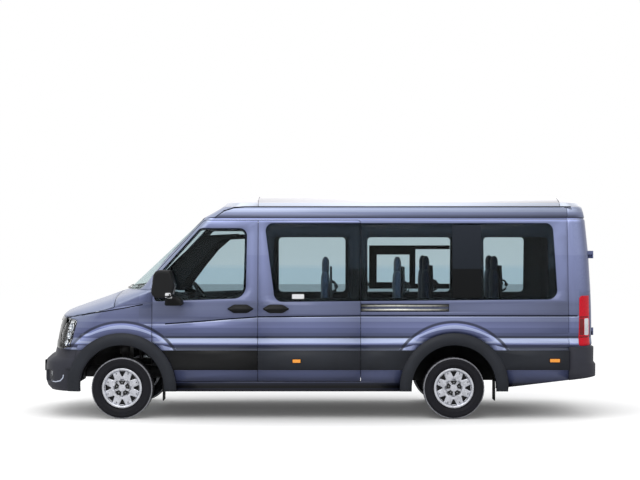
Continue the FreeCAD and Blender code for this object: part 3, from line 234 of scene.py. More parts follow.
def painted_side_light(tree, place, split):
    """The painted light and shade of the side's long creases and arches, by a point's height, its height over the
    groove, which climbs along the front door, and its distance from the nearer axle."""
    along, height = split.outputs["X"], split.outputs["Z"]
    start, end = GROOVE_LINE[0][0], GROOVE_LINE[-1][0]
    climb = ramp(tree, spanned(tree, along, start, end),
                 [((x - start) / (end - start), (z / 2,) * 3 + (1,)) for x, z in GROOVE_LINE])
    level = counted(tree, "MULTIPLY_ADD", climb, -2.0, height)
    under_groove = ramp(tree, spanned(tree, level, *GROOVE_SPAN), GROOVE_PAINTED_HIGHLIGHT)
    shades = [(z / SIDE_HEIGHT, (shade, shade, shade * 0.97, 1)) for z, shade in SIDE_PAINTED_LIGHT]
    both = multiplied(tree, under_groove, ramp(tree, spanned(tree, height, 0.0, SIDE_HEIGHT), shades))
    reaches = []
    for station in (FRONT_AXLE, REAR_AXLE):
        flat = add_node(tree, "VectorMath", {0: place, 1: (1, 0, 1)}, operation="MULTIPLY").outputs[0]
        reach = add_node(tree, "VectorMath", {0: flat, 1: (station, 0, ARCH_HEIGHT)}, operation="DISTANCE")
        reaches.append(reach.outputs["Value"])
    near = counted(tree, "MINIMUM", *reaches)
    arch = ramp(tree, near, [(reach, (shade, shade, shade, 1)) for reach, shade in ARCH_PAINTED_LIGHT])
    inside = counted(tree, "LESS_THAN", near, ARCH_REACH)
    over_strip = counted(tree, "GREATER_THAN", height, STRIP_TOP)
    arched = counted(tree, "MULTIPLY", inside, over_strip)
    ahead = counted(tree, "LESS_THAN", along, FRONT_AXLE + 0.2)
    return blended(tree, counted(tree, "MAXIMUM", arched, ahead), both, arch)


def painted_by_lean(tree, lean, tones):
    """The paint's painted shade and painted reflection by how far a face looks up or down."""
    return ramp(tree, lean, [((lift + 1) / 2, linear(*colour)) for lift, colour in tones])


def body_paint(name, tones, top_tones=None):
    """Metallic paint with painted light: painted shade deepens faces that look down, a painted reflection pales faces
    that look up, and the side's creases carry painted highlights and shade.
    """
    made = material(name, tones[1][1], 0.36, 0.15, 0.3, shine=0.25)
    tree = made.node_tree
    place = own_place(tree)
    where = add_node(tree, "SeparateXYZ", {0: place})
    facing = add_node(tree, "SeparateXYZ", {0: add_node(tree, "NewGeometry").outputs["True Normal"]})
    lean = spanned(tree, facing.outputs["Z"], -1.0, 1.0)
    tone = painted_by_lean(tree, lean, tones)
    if top_tones:
        high = spanned(tree, where.outputs["Z"], *ROOF_SPAN, interpolation_type="SMOOTHSTEP")
        tone = blended(tree, high, tone, painted_by_lean(tree, lean, top_tones))
    share = spanned(tree, counted(tree, "ABSOLUTE", facing.outputs["Y"]), *SIDEWAYS)
    shade = multiplied(tree, tone, painted_side_light(tree, place, where), share)
    flakes = ramp(tree, grain(tree, 900, detail=2.0), [(0.3, (0.93,) * 3 + (1,)), (0.7, (1,) * 4)])
    feed(made, "Base Color", multiplied(tree, shade, flakes))
    feed(made, "Coat Normal", relief(tree, grain(tree, 40, detail=1.0), 0.15, 0.0004))
    return made


def tinted(name, stops):
    """Window glass with a tint that changes with height; on the side glass the change is a painted reflection."""
    made = by_height(material(name, stops[0][1], 0.0, 0.0, 0.15, 1.0, 1.0), stops)
    tree = made.node_tree
    feed(made, "Coat Roughness", spanned(tree, grain(tree, 6), 0.45, 0.8, 0.01, 0.08))
    return made


def border(name, stops):
    """The dark print round the panes, paler in its upper part with a painted reflection."""
    return by_height(worn(material(name, (9, 10, 12), 0.16, shine=0.15), 30, 0.1, 0.04), stops)


# Painted light by a face's lean: painted shade on faces that look down, painted reflection on faces that look up.
PAINTED_LIGHT_LOW = [
    (-1.0, (34, 36, 56)), (-0.3, (48, 53, 78)), (-0.05, (78, 85, 120)), (0.03, (91, 98, 137)),
    (0.14, (113, 121, 155)), (0.4, (136, 145, 172)),
]
PAINTED_LIGHT_HIGH = PAINTED_LIGHT_LOW + [(0.75, (146, 155, 182)), (1.0, (156, 164, 190))]
PAINT = body_paint("paint_blue_grey", PAINTED_LIGHT_HIGH)
# A painted sky reflection that turns the roof's upward faces nearly white.
ROOF_PAINTED_REFLECTION = PAINTED_LIGHT_LOW[:5] + [
    (0.4, (170, 180, 200)), (0.75, (206, 211, 224)), (0.93, (236, 234, 240)), (1.0, (240, 238, 243)),
]
ROOF_PAINT = body_paint("paint_roof", PAINTED_LIGHT_HIGH, ROOF_PAINTED_REFLECTION)
# Dark for joints, and painted shade in grooves and on the panels' edge faces.
DARK_JOINT_AND_SHADE = worn(material("dark_seam_and_painted_shade", (12, 13, 20), 0.7, shine=0.1), 60)
BLACK = worn(material("black_gloss", (7, 8, 9), 0.14, shine=0.4), 30, 0.1, 0.04)
BAND = border("glass_border", [
    (1.3, (9, 11, 13)), (1.735, (14, 17, 19)), (1.745, (38, 44, 52)), (2.27, (46, 50, 60)), (2.4, (9, 10, 12)),
])
PRINT = border("glass_print", [
    (1.3, (8, 10, 12)), (1.735, (12, 14, 17)), (1.745, (30, 36, 44)), (2.27, (38, 43, 52)), (2.4, (9, 10, 12)),
])
TRIM = worn(material("trim_grey", (48, 49, 58), 0.55, shine=0.3), 5, 0.05, 0.08, 0.0005, fine=800)
FLARE = worn(material("flare_grey", (38, 41, 48), 0.55, shine=0.3), 5, 0.05, 0.08, 0.0005, fine=800)
PLASTIC = worn(material("plastic_black", (13, 14, 16), 0.5, shine=0.3), 8, 0.1, 0.1, 0.0004, fine=700)
# The paler step at 1.75 m is a painted reflection.
GLASS = tinted("glass_tinted", [
    (1.3, (196, 212, 218)), (1.74, (198, 214, 221)), (1.76, (206, 218, 222)), (2.3, (204, 216, 219)),
])
SCREEN = tinted("glass_screen", [(1.3, (226, 236, 236)), (2.2, (214, 226, 230)), (2.3, (120, 140, 150))])
RUBBER = worn(material("rubber_seal", (16, 16, 19), 0.75, shine=0.2), 50)
TYRE = worn(material("tyre_rubber", (24, 24, 30), 0.7, shine=0.25), 14, 0.12, 0.1, 0.0006, fine=320)
# The tyre's shoulders: pale rubber that is a painted highlight.
TYRE_PAINTED_HIGHLIGHT = worn(material("tyre_shoulder_painted_highlight", (150, 151, 158), 0.6), 30, 0.1, 0.1)
SILVER = worn(material("wheel_silver", (206, 208, 216), 0.3, 0.7, 0.4), 18, 0.06, 0.08)
STEEL = worn(material("steel", (128, 130, 134), 0.38, 0.9), 24, 0.12, 0.12, stretch=(1, 1, 6))
IRON = worn(material("iron", (44, 43, 44), 0.65, 0.4), 16, 0.2, 0.15, 0.0008, fine=140)
CHASSIS = worn(material("chassis_black", (22, 22, 24), 0.6), 6, 0.15, 0.12, 0.0004, fine=200)
CHROME = worn(material("chrome", (226, 229, 233), 0.08, 1.0), 12, 0.02, 0.04)
ALLOY = worn(material("alloy", (190, 190, 184), 0.3, 0.85), 20, 0.05, 0.1, stretch=(1, 20, 20))
FLOOR_MAT = worn(material("cabin_floor", (50, 52, 56), 0.75), 30, 0.15, 0.1, 0.0006, fine=420)
LINING = worn(material("cabin_lining", (64, 66, 70), 0.85), 12, 0.06, 0.06, 0.0005, fine=500)
SEAT_PLASTIC = worn(material("seat_plastic", (30, 32, 37), 0.55), 12, 0.1, 0.1, 0.0004, fine=600)
RED = worn(material("lamp_red", (206, 4, 34), 0.25, 0.0, 0.15, shine=0.2), 90, 0.12, 0.03, stretch=(1, 1, 3))
DEEP_RED = worn(material("lamp_deep_red", (120, 4, 18), 0.2, 0.0, 0.3, shine=0.3), 90, 0.12, 0.03)
CLEAR = worn(material("lamp_clear", (232, 236, 240), 0.03, 0.0, 0.6, 1.0, 1.18), 20, 0.01, 0.02)
FROST = worn(material("lamp_ribbed", (214, 219, 226), 0.2, 0.3, 0.8), 120, 0.08, 0.08, stretch=(1, 1, 4))
AMBER = worn(material("lamp_amber", (244, 150, 40), 0.2, 0.0, 0.8, emission=0.2), 110, 0.1, 0.05)
PALE = worn(material("pale_label", (226, 227, 230), 0.5), 40, 0.03, 0.1)
LIGHT_STRIP = worn(material("cabin_lamp", (248, 226, 240), 0.4, emission=0.9), 40, 0.02, 0.1)
RIDGE = worn(material("ridge_light", (196, 204, 224), 0.3, 0.3, 0.9), 80, 0.03, 0.05)


def fabric(name, colour):
    """Woven cloth: crossing threads, a soft sheen and uneven shade."""
    made = worn(material(name, colour, 0.92), 26, 0.1, 0.05)
    tree = made.node_tree
    tree.nodes["Principled BSDF"].inputs["Sheen Weight"].default_value = 0.35
    threads = []
    for turn in ((0, 0, 0.78), (0.78, 0, 0)):
        lay = add_node(tree, "Mapping", {"Vector": own_place(tree), "Rotation": turn}).outputs["Vector"]
        wave = add_node(tree, "TexWave", {"Vector": lay, "Scale": 1100 / 6.28, "Distortion": 0.6})
        threads.append(wave.outputs["Fac"])
    feed(made, "Normal", relief(tree, counted(tree, "MAXIMUM", *threads), 0.5, 0.0008))
    return made


FABRIC = fabric("seat_fabric", (58, 68, 88))


# The CAD nodes get their materials, some of them by face.
def dress(node, *looks):
    """Gives a CAD node its materials, all its faces the first, and returns its object."""
    thing = NODES[node]
    thing.data.materials.clear()
    for look in looks:
        thing.data.materials.append(look)
    for face in thing.data.polygons:
        face.material_index = 0
    return thing


def soften(thing, angle=28.0):
    """Welds the facets' doubled corners and shades the surface smooth up to this angle."""
    weld = thing.modifiers.new("weld", "WELD")
    weld.merge_threshold = 0.00002
    for face in thing.data.polygons:
        face.use_smooth = True
    bpy.context.view_layer.objects.active = thing
    thing.select_set(True)
    bpy.ops.object.shade_auto_smooth(angle=math.radians(angle))
    thing.select_set(False)


def middle_of(node):
    """The middle of a CAD node's box."""
    low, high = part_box(node)
    return (low + high) / 2


def tree_of(*nodes):
    """The surfaces of these CAD nodes, ready for casting rays onto them."""
    points, faces = [], []
    for node in nodes:
        mesh = NODES[node].data
        base = len(points)
        points += [corner.co.copy() for corner in mesh.vertices]
        faces += [[base + index for index in face.vertices] for face in mesh.polygons]
    return BVHTree.FromPolygons(points, faces)


def on_line(line, x):
    """The height of a line of x and z points at this x, or None beyond its ends."""
    for (x0, z0), (x1, z1) in zip(line, line[1:]):
        if x0 <= x <= x1:
            return z0 + (z1 - z0) * (x - x0) / (x1 - x0)
    return None


GUTTER_LINE = [
    (-1.169, 2.33), (-1.073, 2.413), (-0.957, 2.452), (-0.827, GUTTER), (REAR_AXLE + 1.385, GUTTER),
]
BODY_GLASS = tree_of("side_glass", "windscreen", *(f"{end}_door_glass_{name}" for end in ENDS for name, _ in SIDES))
# The way out is measured from a core inside the body: its stations, its heights, and the nose where it stays low.
CORE_STATIONS = (-2.1, 2.75)
CORE_HEIGHTS = (0.7, 2.15)
NOSE = -1.9
# How far a face's normal agrees with the way out, or with the way in, before it counts as outer or inner skin.
FACING = 0.3
GROOVE_HALF = 0.0075


def held(value, low, high):
    """A value held between two others."""
    return min(max(value, low), high)


def clad(node, looks):
    """Sorts a panel's faces: outer skin, inner lining, edges and grooves darkened with painted shade, and gloss black
    behind the glass.
    """
    thing = dress(node, *looks)
    for face in thing.data.polygons:
        centre, normal = face.center, face.normal
        level = CORE_HEIGHTS[0] if centre.x < NOSE else held(centre.z, *CORE_HEIGHTS)
        core = Vector((held(centre.x, *CORE_STATIONS), 0, level))
        facing = normal.dot((centre - core).normalized())
        if facing < -FACING:
            face.material_index = 1
        # Edge faces and grooves get painted shade.
        elif facing < FACING or in_groove(centre):
            face.material_index = 2
        if facing > -FACING and behind_glass(thing.data, face):
            face.material_index = 3
    return thing


def behind_glass(mesh, face):
    """Whether any of a face's middle points has glass close in front of it."""
    spots = [face.center] + [face.center.lerp(mesh.vertices[index].co, 0.7) for index in face.vertices]
    return any(BODY_GLASS.ray_cast(spot + face.normal * 0.0008, face.normal, 0.02)[0] is not None for spot in spots)


def in_groove(point):
    """Whether a face's centre lies in the groove or the gutter's groove of a side, which get painted shade."""
    heights = [on_line(line, point.x) for line in (GROOVE_LINE, GUTTER_LINE)]
    near = any(height is not None and abs(point.z - height) < GROOVE_HALF for height in heights)
    return near and abs(point.y) >= 0.7


PANELS = ["roof", "rear_panel", "front_wings", "bonnet", "cowl_panel", "sliding_door"]
PANELS += [kind + "_" + name for kind in ("body_side", "front_door", "rear_door") for name, _ in SIDES]
LOOKS = (
    (TRIM, "front_bumper rear_bumper"), (BLACK, "grille"), (FLARE, "body_cladding"), (SCREEN, "windscreen"),
    (PLASTIC, "slider_handle wheel_liners front_door_trim_left front_door_trim_right"),
    (PLASTIC, "dashboard steering_wheel fuel_tank"),
    (GLASS, "side_glass front_door_glass_left front_door_glass_right rear_door_glass_left rear_door_glass_right"),
    (CLEAR, "headlamps"), (RED, "tail_lamps"), (ALLOY, "door_rail"), (FLOOR_MAT, "floor_pan"), (STEEL, "exhaust"),
    (CHASSIS, "chassis_rails bulkhead tow_eyes front_beam"), (SEAT_PLASTIC, "passenger_seats front_seats"),
    (IRON, "engine front_struts rear_axle knuckle_left knuckle_right"),
    (TYRE, "tyre_front_left tyre_front_right tyre_rear_left tyre_rear_right"),
    (SILVER, "rim_front_left rim_front_right rim_rear_left rim_rear_right"),
)
for look, nodes in LOOKS:
    for node in nodes.split():
        soften(dress(node, look))
for node in PANELS:
    soften(clad(node, (ROOF_PAINT if node == "roof" else PAINT, LINING, DARK_JOINT_AND_SHADE, BAND)), 5.0)


# Forms: points and faces gathered for one piece, then made into its mesh.
class Form:
    """The points and faces of one piece, each face with the number of its material."""

    def __init__(self):
        self.points, self.faces, self.kinds = [], [], []

    def add(self, points, faces, kind=0):
        base = len(self.points)
        self.points += [Vector(point) for point in points]
        self.faces += [[base + index for index in face] for face in faces]
        self.kinds += [kind] * len(faces)
        return self

    def rings(self, rows, caps=True, kind=0):
        """A skin over rows of points, each row a closed loop, with caps on its first and last row."""
        size = len(rows[0])
        points = [point for row in rows for point in row]
        faces = []
        for i in range(len(rows) - 1):
            for k in range(size):
                after = (k + 1) % size
                faces.append([i * size + k, i * size + after, (i + 1) * size + after, (i + 1) * size + k])
        if caps:
            faces.append(list(range(size))[::-1])
            faces.append([len(points) - size + k for k in range(size)])
        return self.add(points, faces, kind)

    def turned(self, centre, axis, section, steps=48, kind=0, caps=True):
        """A turned form: the section's points are distance along the axis and radius."""
        across, up = frame_of(axis)
        along = Vector(axis).normalized()
        rows = []
        for reach, radius in section:
            rows.append([Vector(centre) + along * reach + (across * math.cos(t) + up * math.sin(t)) * radius
                         for t in turns_of(steps)])
        return self.rings(rows, caps=caps, kind=kind)

    def tube(self, path, radius, steps=10, kind=0, flat=1.0):
        """A round or flattened bar along a path of points."""
        rows = []
        for i, point in enumerate(path):
            run = Vector(path[min(i + 1, len(path) - 1)]) - Vector(path[max(i - 1, 0)])
            across, up = frame_of(run)
            rows.append([Vector(point) + (across * math.cos(t) * flat + up * math.sin(t)) * radius
                         for t in turns_of(steps)])
        return self.rings(rows, kind=kind)

    def slab(self, outline, push, kind=0):
        """A plate: an outline of points, and the same outline pushed through its thickness."""
        return self.rings([outline, [Vector(point) + Vector(push) for point in outline]], kind=kind)

    def make(self, name, looks, body="body", bevel=0.0, angle=35.0):
        """The piece as an object that rides on its body."""
        mesh = bpy.data.meshes.new(name)
        mesh.from_pydata(self.points, [], self.faces)
        for look in looks:
            mesh.materials.append(look)
        for face, kind in zip(mesh.polygons, self.kinds):
            face.material_index = kind
            face.use_smooth = True
        solid = bmesh.new()
        solid.from_mesh(mesh)
        bmesh.ops.recalc_face_normals(solid, faces=solid.faces)
        solid.to_mesh(mesh)
        solid.free()
        mesh.set_sharp_from_angle(angle=math.radians(angle))
        thing = new_object(name, mesh)
        if bevel:
            edge = thing.modifiers.new("edge", "BEVEL")
            edge.width, edge.segments = bevel, 2
            edge.limit_method, edge.angle_limit = "ANGLE", math.radians(30)
        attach(thing, body)
        return thing


def turns_of(steps):
    """The turns of a circle's points."""
    return [2 * math.pi * k / steps for k in range(steps)]


def frame_of(axis):
    """Two directions across an axis."""
    along = Vector(axis).normalized()
    helper = Vector((0, 0, 1)) if abs(along.z) < 0.9 else Vector((1, 0, 0))
    across = along.cross(helper).normalized()
    return across, across.cross(along).normalized()


def cast(skin, x, z, side):
    """The point and normal where the skin meets a ray that comes in along Y from this side."""
    point, normal, _, _ = skin.ray_cast(Vector((x, side * 3.0, z)), Vector((0, -side, 0)))
    if point is None:
        point, normal, _, _ = skin.find_nearest(Vector((x, side * 0.98, z)))
    return point, normal if normal.y * side > 0 else -normal


def patch(form, skin, outline, side, lift=0.0, depth=0.003, kind=0, step=0.06):
    """A plate that hugs the skin: an outline of x and z points, laid on it along Y."""
    solid = bmesh.new()
    solid.faces.new([solid.verts.new((x, 0, z)) for x, z in outline])
    for axis in (0, 2):
        values = [point[axis // 2] for point in outline]
        place = min(values) + step
        while place < max(values) - step / 4:
            spot, normal = Vector((0, 0, 0)), Vector((0, 0, 0))
            spot[axis], normal[axis] = place, 1.0
            bmesh.ops.bisect_plane(solid, geom=solid.verts[:] + solid.edges[:] + solid.faces[:],
                                   plane_co=spot, plane_no=normal)
            place += step
    top = bmesh.ops.extrude_face_region(solid, geom=solid.faces[:])["geom"]
    raised = {item for item in top if isinstance(item, bmesh.types.BMVert)}
    points = []
    solid.verts.index_update()
    for corner in solid.verts:
        point, _ = cast(skin, corner.co.x, corner.co.z, side)
        height = lift if corner in raised else lift - depth
        points.append(Vector((corner.co.x, point.y + side * height, corner.co.z)))
    form.add(points, [[corner.index for corner in face.verts] for face in solid.faces], kind)
    solid.free()
    return form


def band(line, half):
    """The outline of a strip along a line of x and z points."""
    over, under = [], []
    for i, (x, z) in enumerate(line):
        run = Vector(line[min(i + 1, len(line) - 1)]) - Vector(line[max(i - 1, 0)])
        up = Vector((-run.y, run.x)).normalized() * half
        over.append((x + up.x, z + up.y))
        under.append((x - up.x, z - up.y))
    return over + under[::-1]


def rounded(low, high, corner, steps=5):
    """A rectangle of x and z points with round corners."""
    points = []
    for x, z, start in ((high[0], high[1], 0), (low[0], high[1], 90), (low[0], low[1], 180), (high[0], low[1], 270)):
        x += -corner if x == high[0] else corner
        z += -corner if z == high[1] else corner
        for k in range(steps + 1):
            turn = math.radians(start + 90 * k / steps)
            points.append((x + corner * math.cos(turn), z + corner * math.sin(turn)))
    return points


# Wheels: tyres with their tread, and the covers on their rims.
TREAD_COLUMNS = 360
TREAD_PITCH = 8
SPOKES = 8
BOLTS = 5


def tyre(end, name, side):
    """A tyre: rounded shoulders, sidewall ribs, three grooves round the tread and blocks cut across it."""
    centre = middle_of(f"tyre_{end}_{name}")
    radius, half = TYRE_RADIUS, TYRE_HALF
    outer = [
        (0.2168, 0.078, 0), (0.24, 0.086, 0), (0.244, 0.096, 0), (0.256, 0.108, 0), (0.272, 0.1145, 0),
        (0.2735, 0.116, 1), (0.2765, 0.116, 1), (0.278, 0.116, 0), (0.294, half, 0), (0.312, half - 0.0015, 0),
        (0.3135, half - 0.0005, 0), (0.3165, half - 0.0005, 0), (0.318, half - 0.0025, 0), (0.332, half - 0.006, 0),
        (0.342, half - 0.011, 2), (0.35, half - 0.02, 2), (radius - 0.001, half - 0.034, 3),
    ]
    tread = []
    for groove in (0.062, 0.022, -0.022, -0.062):
        tread += [(radius, groove + 0.006, 3), (radius - 0.007, groove + 0.004, 4),
                  (radius - 0.007, groove - 0.004, 4), (radius, groove - 0.006, 3)]
    section = outer + tread + [(reach, -across, kind) for reach, across, kind in reversed(outer)]
    rows = []
    for k in range(TREAD_COLUMNS):
        turn = 2 * math.pi * k / TREAD_COLUMNS
        row = []
        for reach, across, kind in section:
            shift = 1 if across > 0 else 4
            cut = kind == 3 and (k + shift) % TREAD_PITCH == 0
            reach -= 0.005 if cut else 0.0
            row.append(centre + Vector((reach * math.cos(turn), side * across, reach * math.sin(turn))))
        rows.append(row)
    form = Form().rings(rows + rows[:1], caps=False)
    kinds = [kind for _, _, kind in section]
    # The shoulders get the painted highlight.
    form.kinds = [1 if kinds[i % len(section)] == 2 else 0 for i in range(len(form.faces))]
    piece = form.make(f"tread_{end}_{name}", (TYRE, TYRE_PAINTED_HIGHLIGHT), f"wheel_{end}_{name}", angle=40)
    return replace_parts(piece, f"tyre_{end}_{name}")


def wheel_cover(end, name, side):
    """The plain cap, the dark ring with its bolts and arms, raised spokes, the valve and the rim's edge."""
    hub = middle_of(f"rim_{end}_{name}")
    hub.y = side * HALF_TRACK
    out = Vector((0, side, 0))

    def spot(radius, turn, reach):
        return hub + Vector((radius * math.cos(turn), 0, radius * math.sin(turn))) + out * reach

    form = Form()
    form.turned(hub + out * 0.064, out, [(0.0, 0.087), (0.009, 0.087), (0.0105, 0.083), (0.01, 0.044)], 64, kind=2)
    form.turned(hub + out * 0.066, out, [(0.0, 0.043), (0.013, 0.043), (0.019, 0.04), (0.0215, 0.034),
                                         (0.02, 0.028), (0.0205, 0.026), (0.0225, 0.018), (0.023, 0.001)], 64)
    for k in range(BOLTS):
        turn = 2 * math.pi * k / BOLTS
        centre = spot(0.064, math.radians(90) + turn, 0.0)
        form.turned(centre + out * 0.074, out, [(0.0, 0.0095), (0.009, 0.0095), (0.0105, 0.008)], 6, kind=1)
        for wide in (-1, 1):
            arm = [spot(radius, math.radians(54) + turn + wide * swing, 0.064)
                   for radius, swing in ((0.04, 0.02), (0.088, 0.02), (0.088, 0.15), (0.04, 0.24))]
            form.slab(arm, out * 0.0135)
    for k in range(SPOKES):
        turn = 2 * math.pi * (k + 0.5) / SPOKES
        for low_r, high_r, low_w, high_w, rise in (
                (0.094, 0.196, 0.017, 0.03, 0.007), (0.12, 0.19, 0.006, 0.013, 0.0115)):
            corners = [spot(radius, turn + wide / radius, 0.06) for radius, wide in (
                (low_r, -low_w), (high_r, -high_w), (high_r, high_w), (low_r, low_w))]
            form.slab(corners, out * rise)
        tip = spot(0.178, turn, 0.0)
        form.turned(tip + out * 0.07, out, [(0.0, 0.0075), (0.0022, 0.0075), (0.0028, 0.005)], 16, kind=2)
    form.tube([spot(0.199, math.radians(70), 0.062), spot(0.196, math.radians(70), 0.078)], 0.0042, kind=3)
    form.turned(hub + out * 0.0885, out, [(0.0, 0.222), (0.004, 0.222), (0.006, 0.227), (0.0045, 0.231), (0.0, 0.232)],
                96, caps=False)
    return form.make(f"wheel_cover_{end}_{name}", (SILVER, STEEL, BLACK, RUBBER), f"wheel_{end}_{name}", 0.0015)


for end in ENDS:
    for name, side in SIDES:
        tyre(end, name, side)
        wheel_cover(end, name, side)


# Skins that the flat pieces are laid on.
SKIN = {}
for name, side in SIDES:
    panels = ["body_side_" + name, "front_door_" + name, "front_wings", "cowl_panel", "bonnet", "roof"]
    SKIN[name] = tree_of(*panels + (["sliding_door"] if side == LEFT else []))
CLADDING = tree_of("body_cladding")
LAMP_SKIN = tree_of("headlamps")
TAIL_SKIN = tree_of("tail_lamps")
BUMPER_SKIN = tree_of("front_bumper")
GLASS_SKIN = tree_of("side_glass")
MARKERS = (((-0.272, 0.65), (-0.166, 0.704)), ((2.699, 0.656), (2.829, 0.71)))


def side_marks():
    """Amber markers on the strips and the blank label on the left glass."""
    for name, side in SIDES:
        for k, (low, high) in enumerate(MARKERS):
            form = patch(Form(), CLADDING, rounded(low, high, 0.008), side, 0.0045, 0.008)
            inset = ((low[0] + 0.008, low[1] + 0.008), (high[0] - 0.008, high[1] - 0.008))
            patch(form, CLADDING, rounded(*inset, 0.005), side, 0.0075, 0.006, 1)
            form.make(f"marker_{k}_{name}", (PLASTIC, AMBER), bevel=0.001)
    form = patch(Form(), GLASS_SKIN, rounded((-0.272, 1.393), (-0.133, 1.447), 0.004), LEFT, 0.0008, 0.0016)
    form.make("blank_label", (PALE,))


def lamps():
    """Headlamp bowls and frames, tail lamp sections, fog lamps and the bright line in the bumper's corner."""
    for name, side in SIDES:
        form = Form()
        for x, z, size in ((-2.842, 1.06, 0.047), (-2.872, 0.965, 0.043), (-2.908, 0.88, 0.034)):
            point, normal = cast(LAMP_SKIN, x, z, side)
            out = (normal + Vector((-0.5, 0, 0.1))).normalized()
            seat = point - out * 0.03
            form.turned(seat, out, [(0.0, size * 0.3), (0.004, size * 0.62), (0.016, size * 0.9), (0.026, size),
                                    (0.0275, size * 1.06), (0.024, size * 1.1), (0.0, size * 1.0)], 36)
            form.turned(seat + out * 0.003, out, [(0.0, size * 0.42), (0.008, size * 0.4), (0.013, size * 0.28),
                                                  (0.015, 0.001)], 28, kind=1)
        form.make("lamp_bowls_" + name, (CHROME, CLEAR), bevel=0.0008)
        edge = [(-2.979, 0.808), (-2.962, 0.802), (-2.905, 0.985), (-2.868, 1.162), (-2.89, 1.166), (-2.935, 0.99)]
        form = patch(Form(), LAMP_SKIN, edge, side, 0.0015, 0.012, 0, 0.03)
        for line in ([(-2.848, 0.846), (-2.776, 1.112)], [(-2.966, 0.812), (-2.848, 0.846)]):
            patch(form, LAMP_SKIN, band(line, 0.006), side, 0.0012, 0.01, 0, 0.03)
        form.make("lamp_frame_" + name, (BLACK,), bevel=0.001)
        form = Form()
        low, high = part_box("tail_lamps")
        start, end = low[0], high[0] - 0.012
        for height in (1.183, 0.952):
            patch(form, TAIL_SKIN, band([(start + 0.01, height), (end, height)], 0.005), side, 0.0016, 0.006, 0, 0.02)
        white = rounded((end - 0.056, 0.972), (end, 1.166), 0.012)
        patch(form, TAIL_SKIN, white, side, 0.0022, 0.008, 2, 0.02)
        deep = rounded((start + 0.014, 0.972), (end - 0.064, 1.166), 0.012)
        patch(form, TAIL_SKIN, deep, side, 0.0016, 0.006, 1, 0.02)
        form.make("tail_lamp_parts_" + name, (BLACK, DEEP_RED, FROST), bevel=0.001)
        form = Form()
        point, normal = cast(BUMPER_SKIN, -3.075, 0.525, side)
        out = (normal + Vector((-1.2, 0, 0))).normalized()
        form.turned(point - out * 0.01, out, [(0.0, 0.04), (0.014, 0.044), (0.02, 0.052), (0.022, 0.056),
                                               (0.012, 0.06)], 40)
        form.turned(point - out * 0.006, out, [(0.0, 0.02), (0.01, 0.034), (0.019, 0.042), (0.021, 0.02),
                                               (0.022, 0.001)], 36, kind=1)
        form.make("fog_lamp_" + name, (BLACK, FROST), bevel=0.001)
        sweep = [(-3.1, 0.428), (-3.03, 0.424), (-2.965, 0.44), (-2.93, 0.478), (-2.922, 0.512)]
        form = patch(Form(), BUMPER_SKIN, band(sweep, 0.006), side, 0.003, 0.006, 0, 0.03)
        form.make("bumper_accent_" + name, (RIDGE,), bevel=0.001)


side_marks()
lamps()


# Seats: padded cushions and backs over moulded shells, on the places of the CAD seats.
PITCH = 0.85
AISLE_RIGHT = 0.17
WALL_SEAT = 0.635
CUSHION_TOP = 1.07
BACK_TOP = 1.89
# The cloth simulation of a pad: how much thinner it starts at its edges, cuts along each edge, last frame, inner
# pressure and the furthest a point may move.
PAD_THINNING = 0.22
PAD_CUTS = 11
LAST_FRAME = 20
PRESSURE = 4.0
PUFF_LIMIT = 0.008


@functools.cache
def puffed(size, squareness, pull):
    """The points of a closed fabric pad, swollen by cloth simulation under inner pressure, and its faces."""
    solid = bmesh.new()
    bmesh.ops.create_cube(solid, size=2.0)
    bmesh.ops.subdivide_edges(solid, edges=solid.edges[:], cuts=PAD_CUTS, use_grid_fill=True)
    thin = min(range(3), key=lambda axis: size[axis])
    first, second = [axis for axis in range(3) if axis != thin]
    for corner in solid.verts:
        at = corner.co
        at = at / sum(abs(value) ** squareness for value in at) ** (1 / squareness)
        at[thin] *= 1.0 - PAD_THINNING * max(at[first] ** 2, at[second] ** 2)
        for axis, other in ((first, second), (second, first)):
            at[axis] *= 1.0 - pull * (1.0 - at[other] ** 2)
        corner.co = Vector([at[axis] * (size[axis] / 2 - PUFF_LIMIT / 2) for axis in range(3)])
    mesh = bpy.data.meshes.new("puff")
    solid.to_mesh(mesh)
    solid.free()
    start = [corner.co.copy() for corner in mesh.vertices]
    thing = new_object("puff", mesh)
    scene = bpy.context.scene
    cloth = thing.modifiers.new("cloth", "CLOTH")
    rules, cache = cloth.settings, cloth.point_cache
    rules.use_pressure = True
    rules.uniform_pressure_force = PRESSURE
    rules.effector_weights.gravity = 0.0
    rules.mass = 0.3
    cache.frame_start, cache.frame_end = 1, LAST_FRAME
    for step in range(1, LAST_FRAME + 1):
        scene.frame_set(step)
    swollen = thing.evaluated_get(bpy.context.evaluated_depsgraph_get()).data
    points = []
    for before, corner in zip(start, swollen.vertices):
        move = corner.co - before
        if move.length > PUFF_LIMIT:
            move = move.normalized() * PUFF_LIMIT
        points.append(before + move)
    faces = [list(face.vertices) for face in mesh.polygons]
    scene.frame_set(1)
    bpy.data.objects.remove(thing)
    return points, faces, thin


def pad(name, centre, size, body, squareness=5.0, channels=(), pull=0.0):
    """A stuffed fabric pad at its place, with sewn channels pressed into its thin direction."""
    points, faces, thin = puffed(size, squareness, pull)
    placed = []
    for point in points:
        at = point.copy()
        if abs(at[thin]) > 0.2 * size[thin] / 2:
            for axis, places, deep, wide in channels:
                for place in places:
                    at[thin] *= 1.0 - deep * math.exp(-((at[axis] / (size[axis] / 2) - place) / wide) ** 2)
        placed.append(at + Vector(centre))
    mesh = bpy.data.meshes.new(name)
    mesh.from_pydata(placed, [], faces)
    mesh.materials.append(FABRIC)
    for face in mesh.polygons:
        face.use_smooth = True
    thing = new_object(name, mesh)
    round_off = thing.modifiers.new("round", "SUBSURF")
    round_off.levels = round_off.render_levels = 1
    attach(thing, body)
    return thing


def block(form, low, high, kind=0):
    """A block between two corners."""
    (x0, y0, z0), (x1, y1, z1) = low, high
    form.slab([(x0, y0, z0), (x1, y0, z0), (x1, y1, z0), (x0, y1, z0)], (0, 0, z1 - z0), kind)


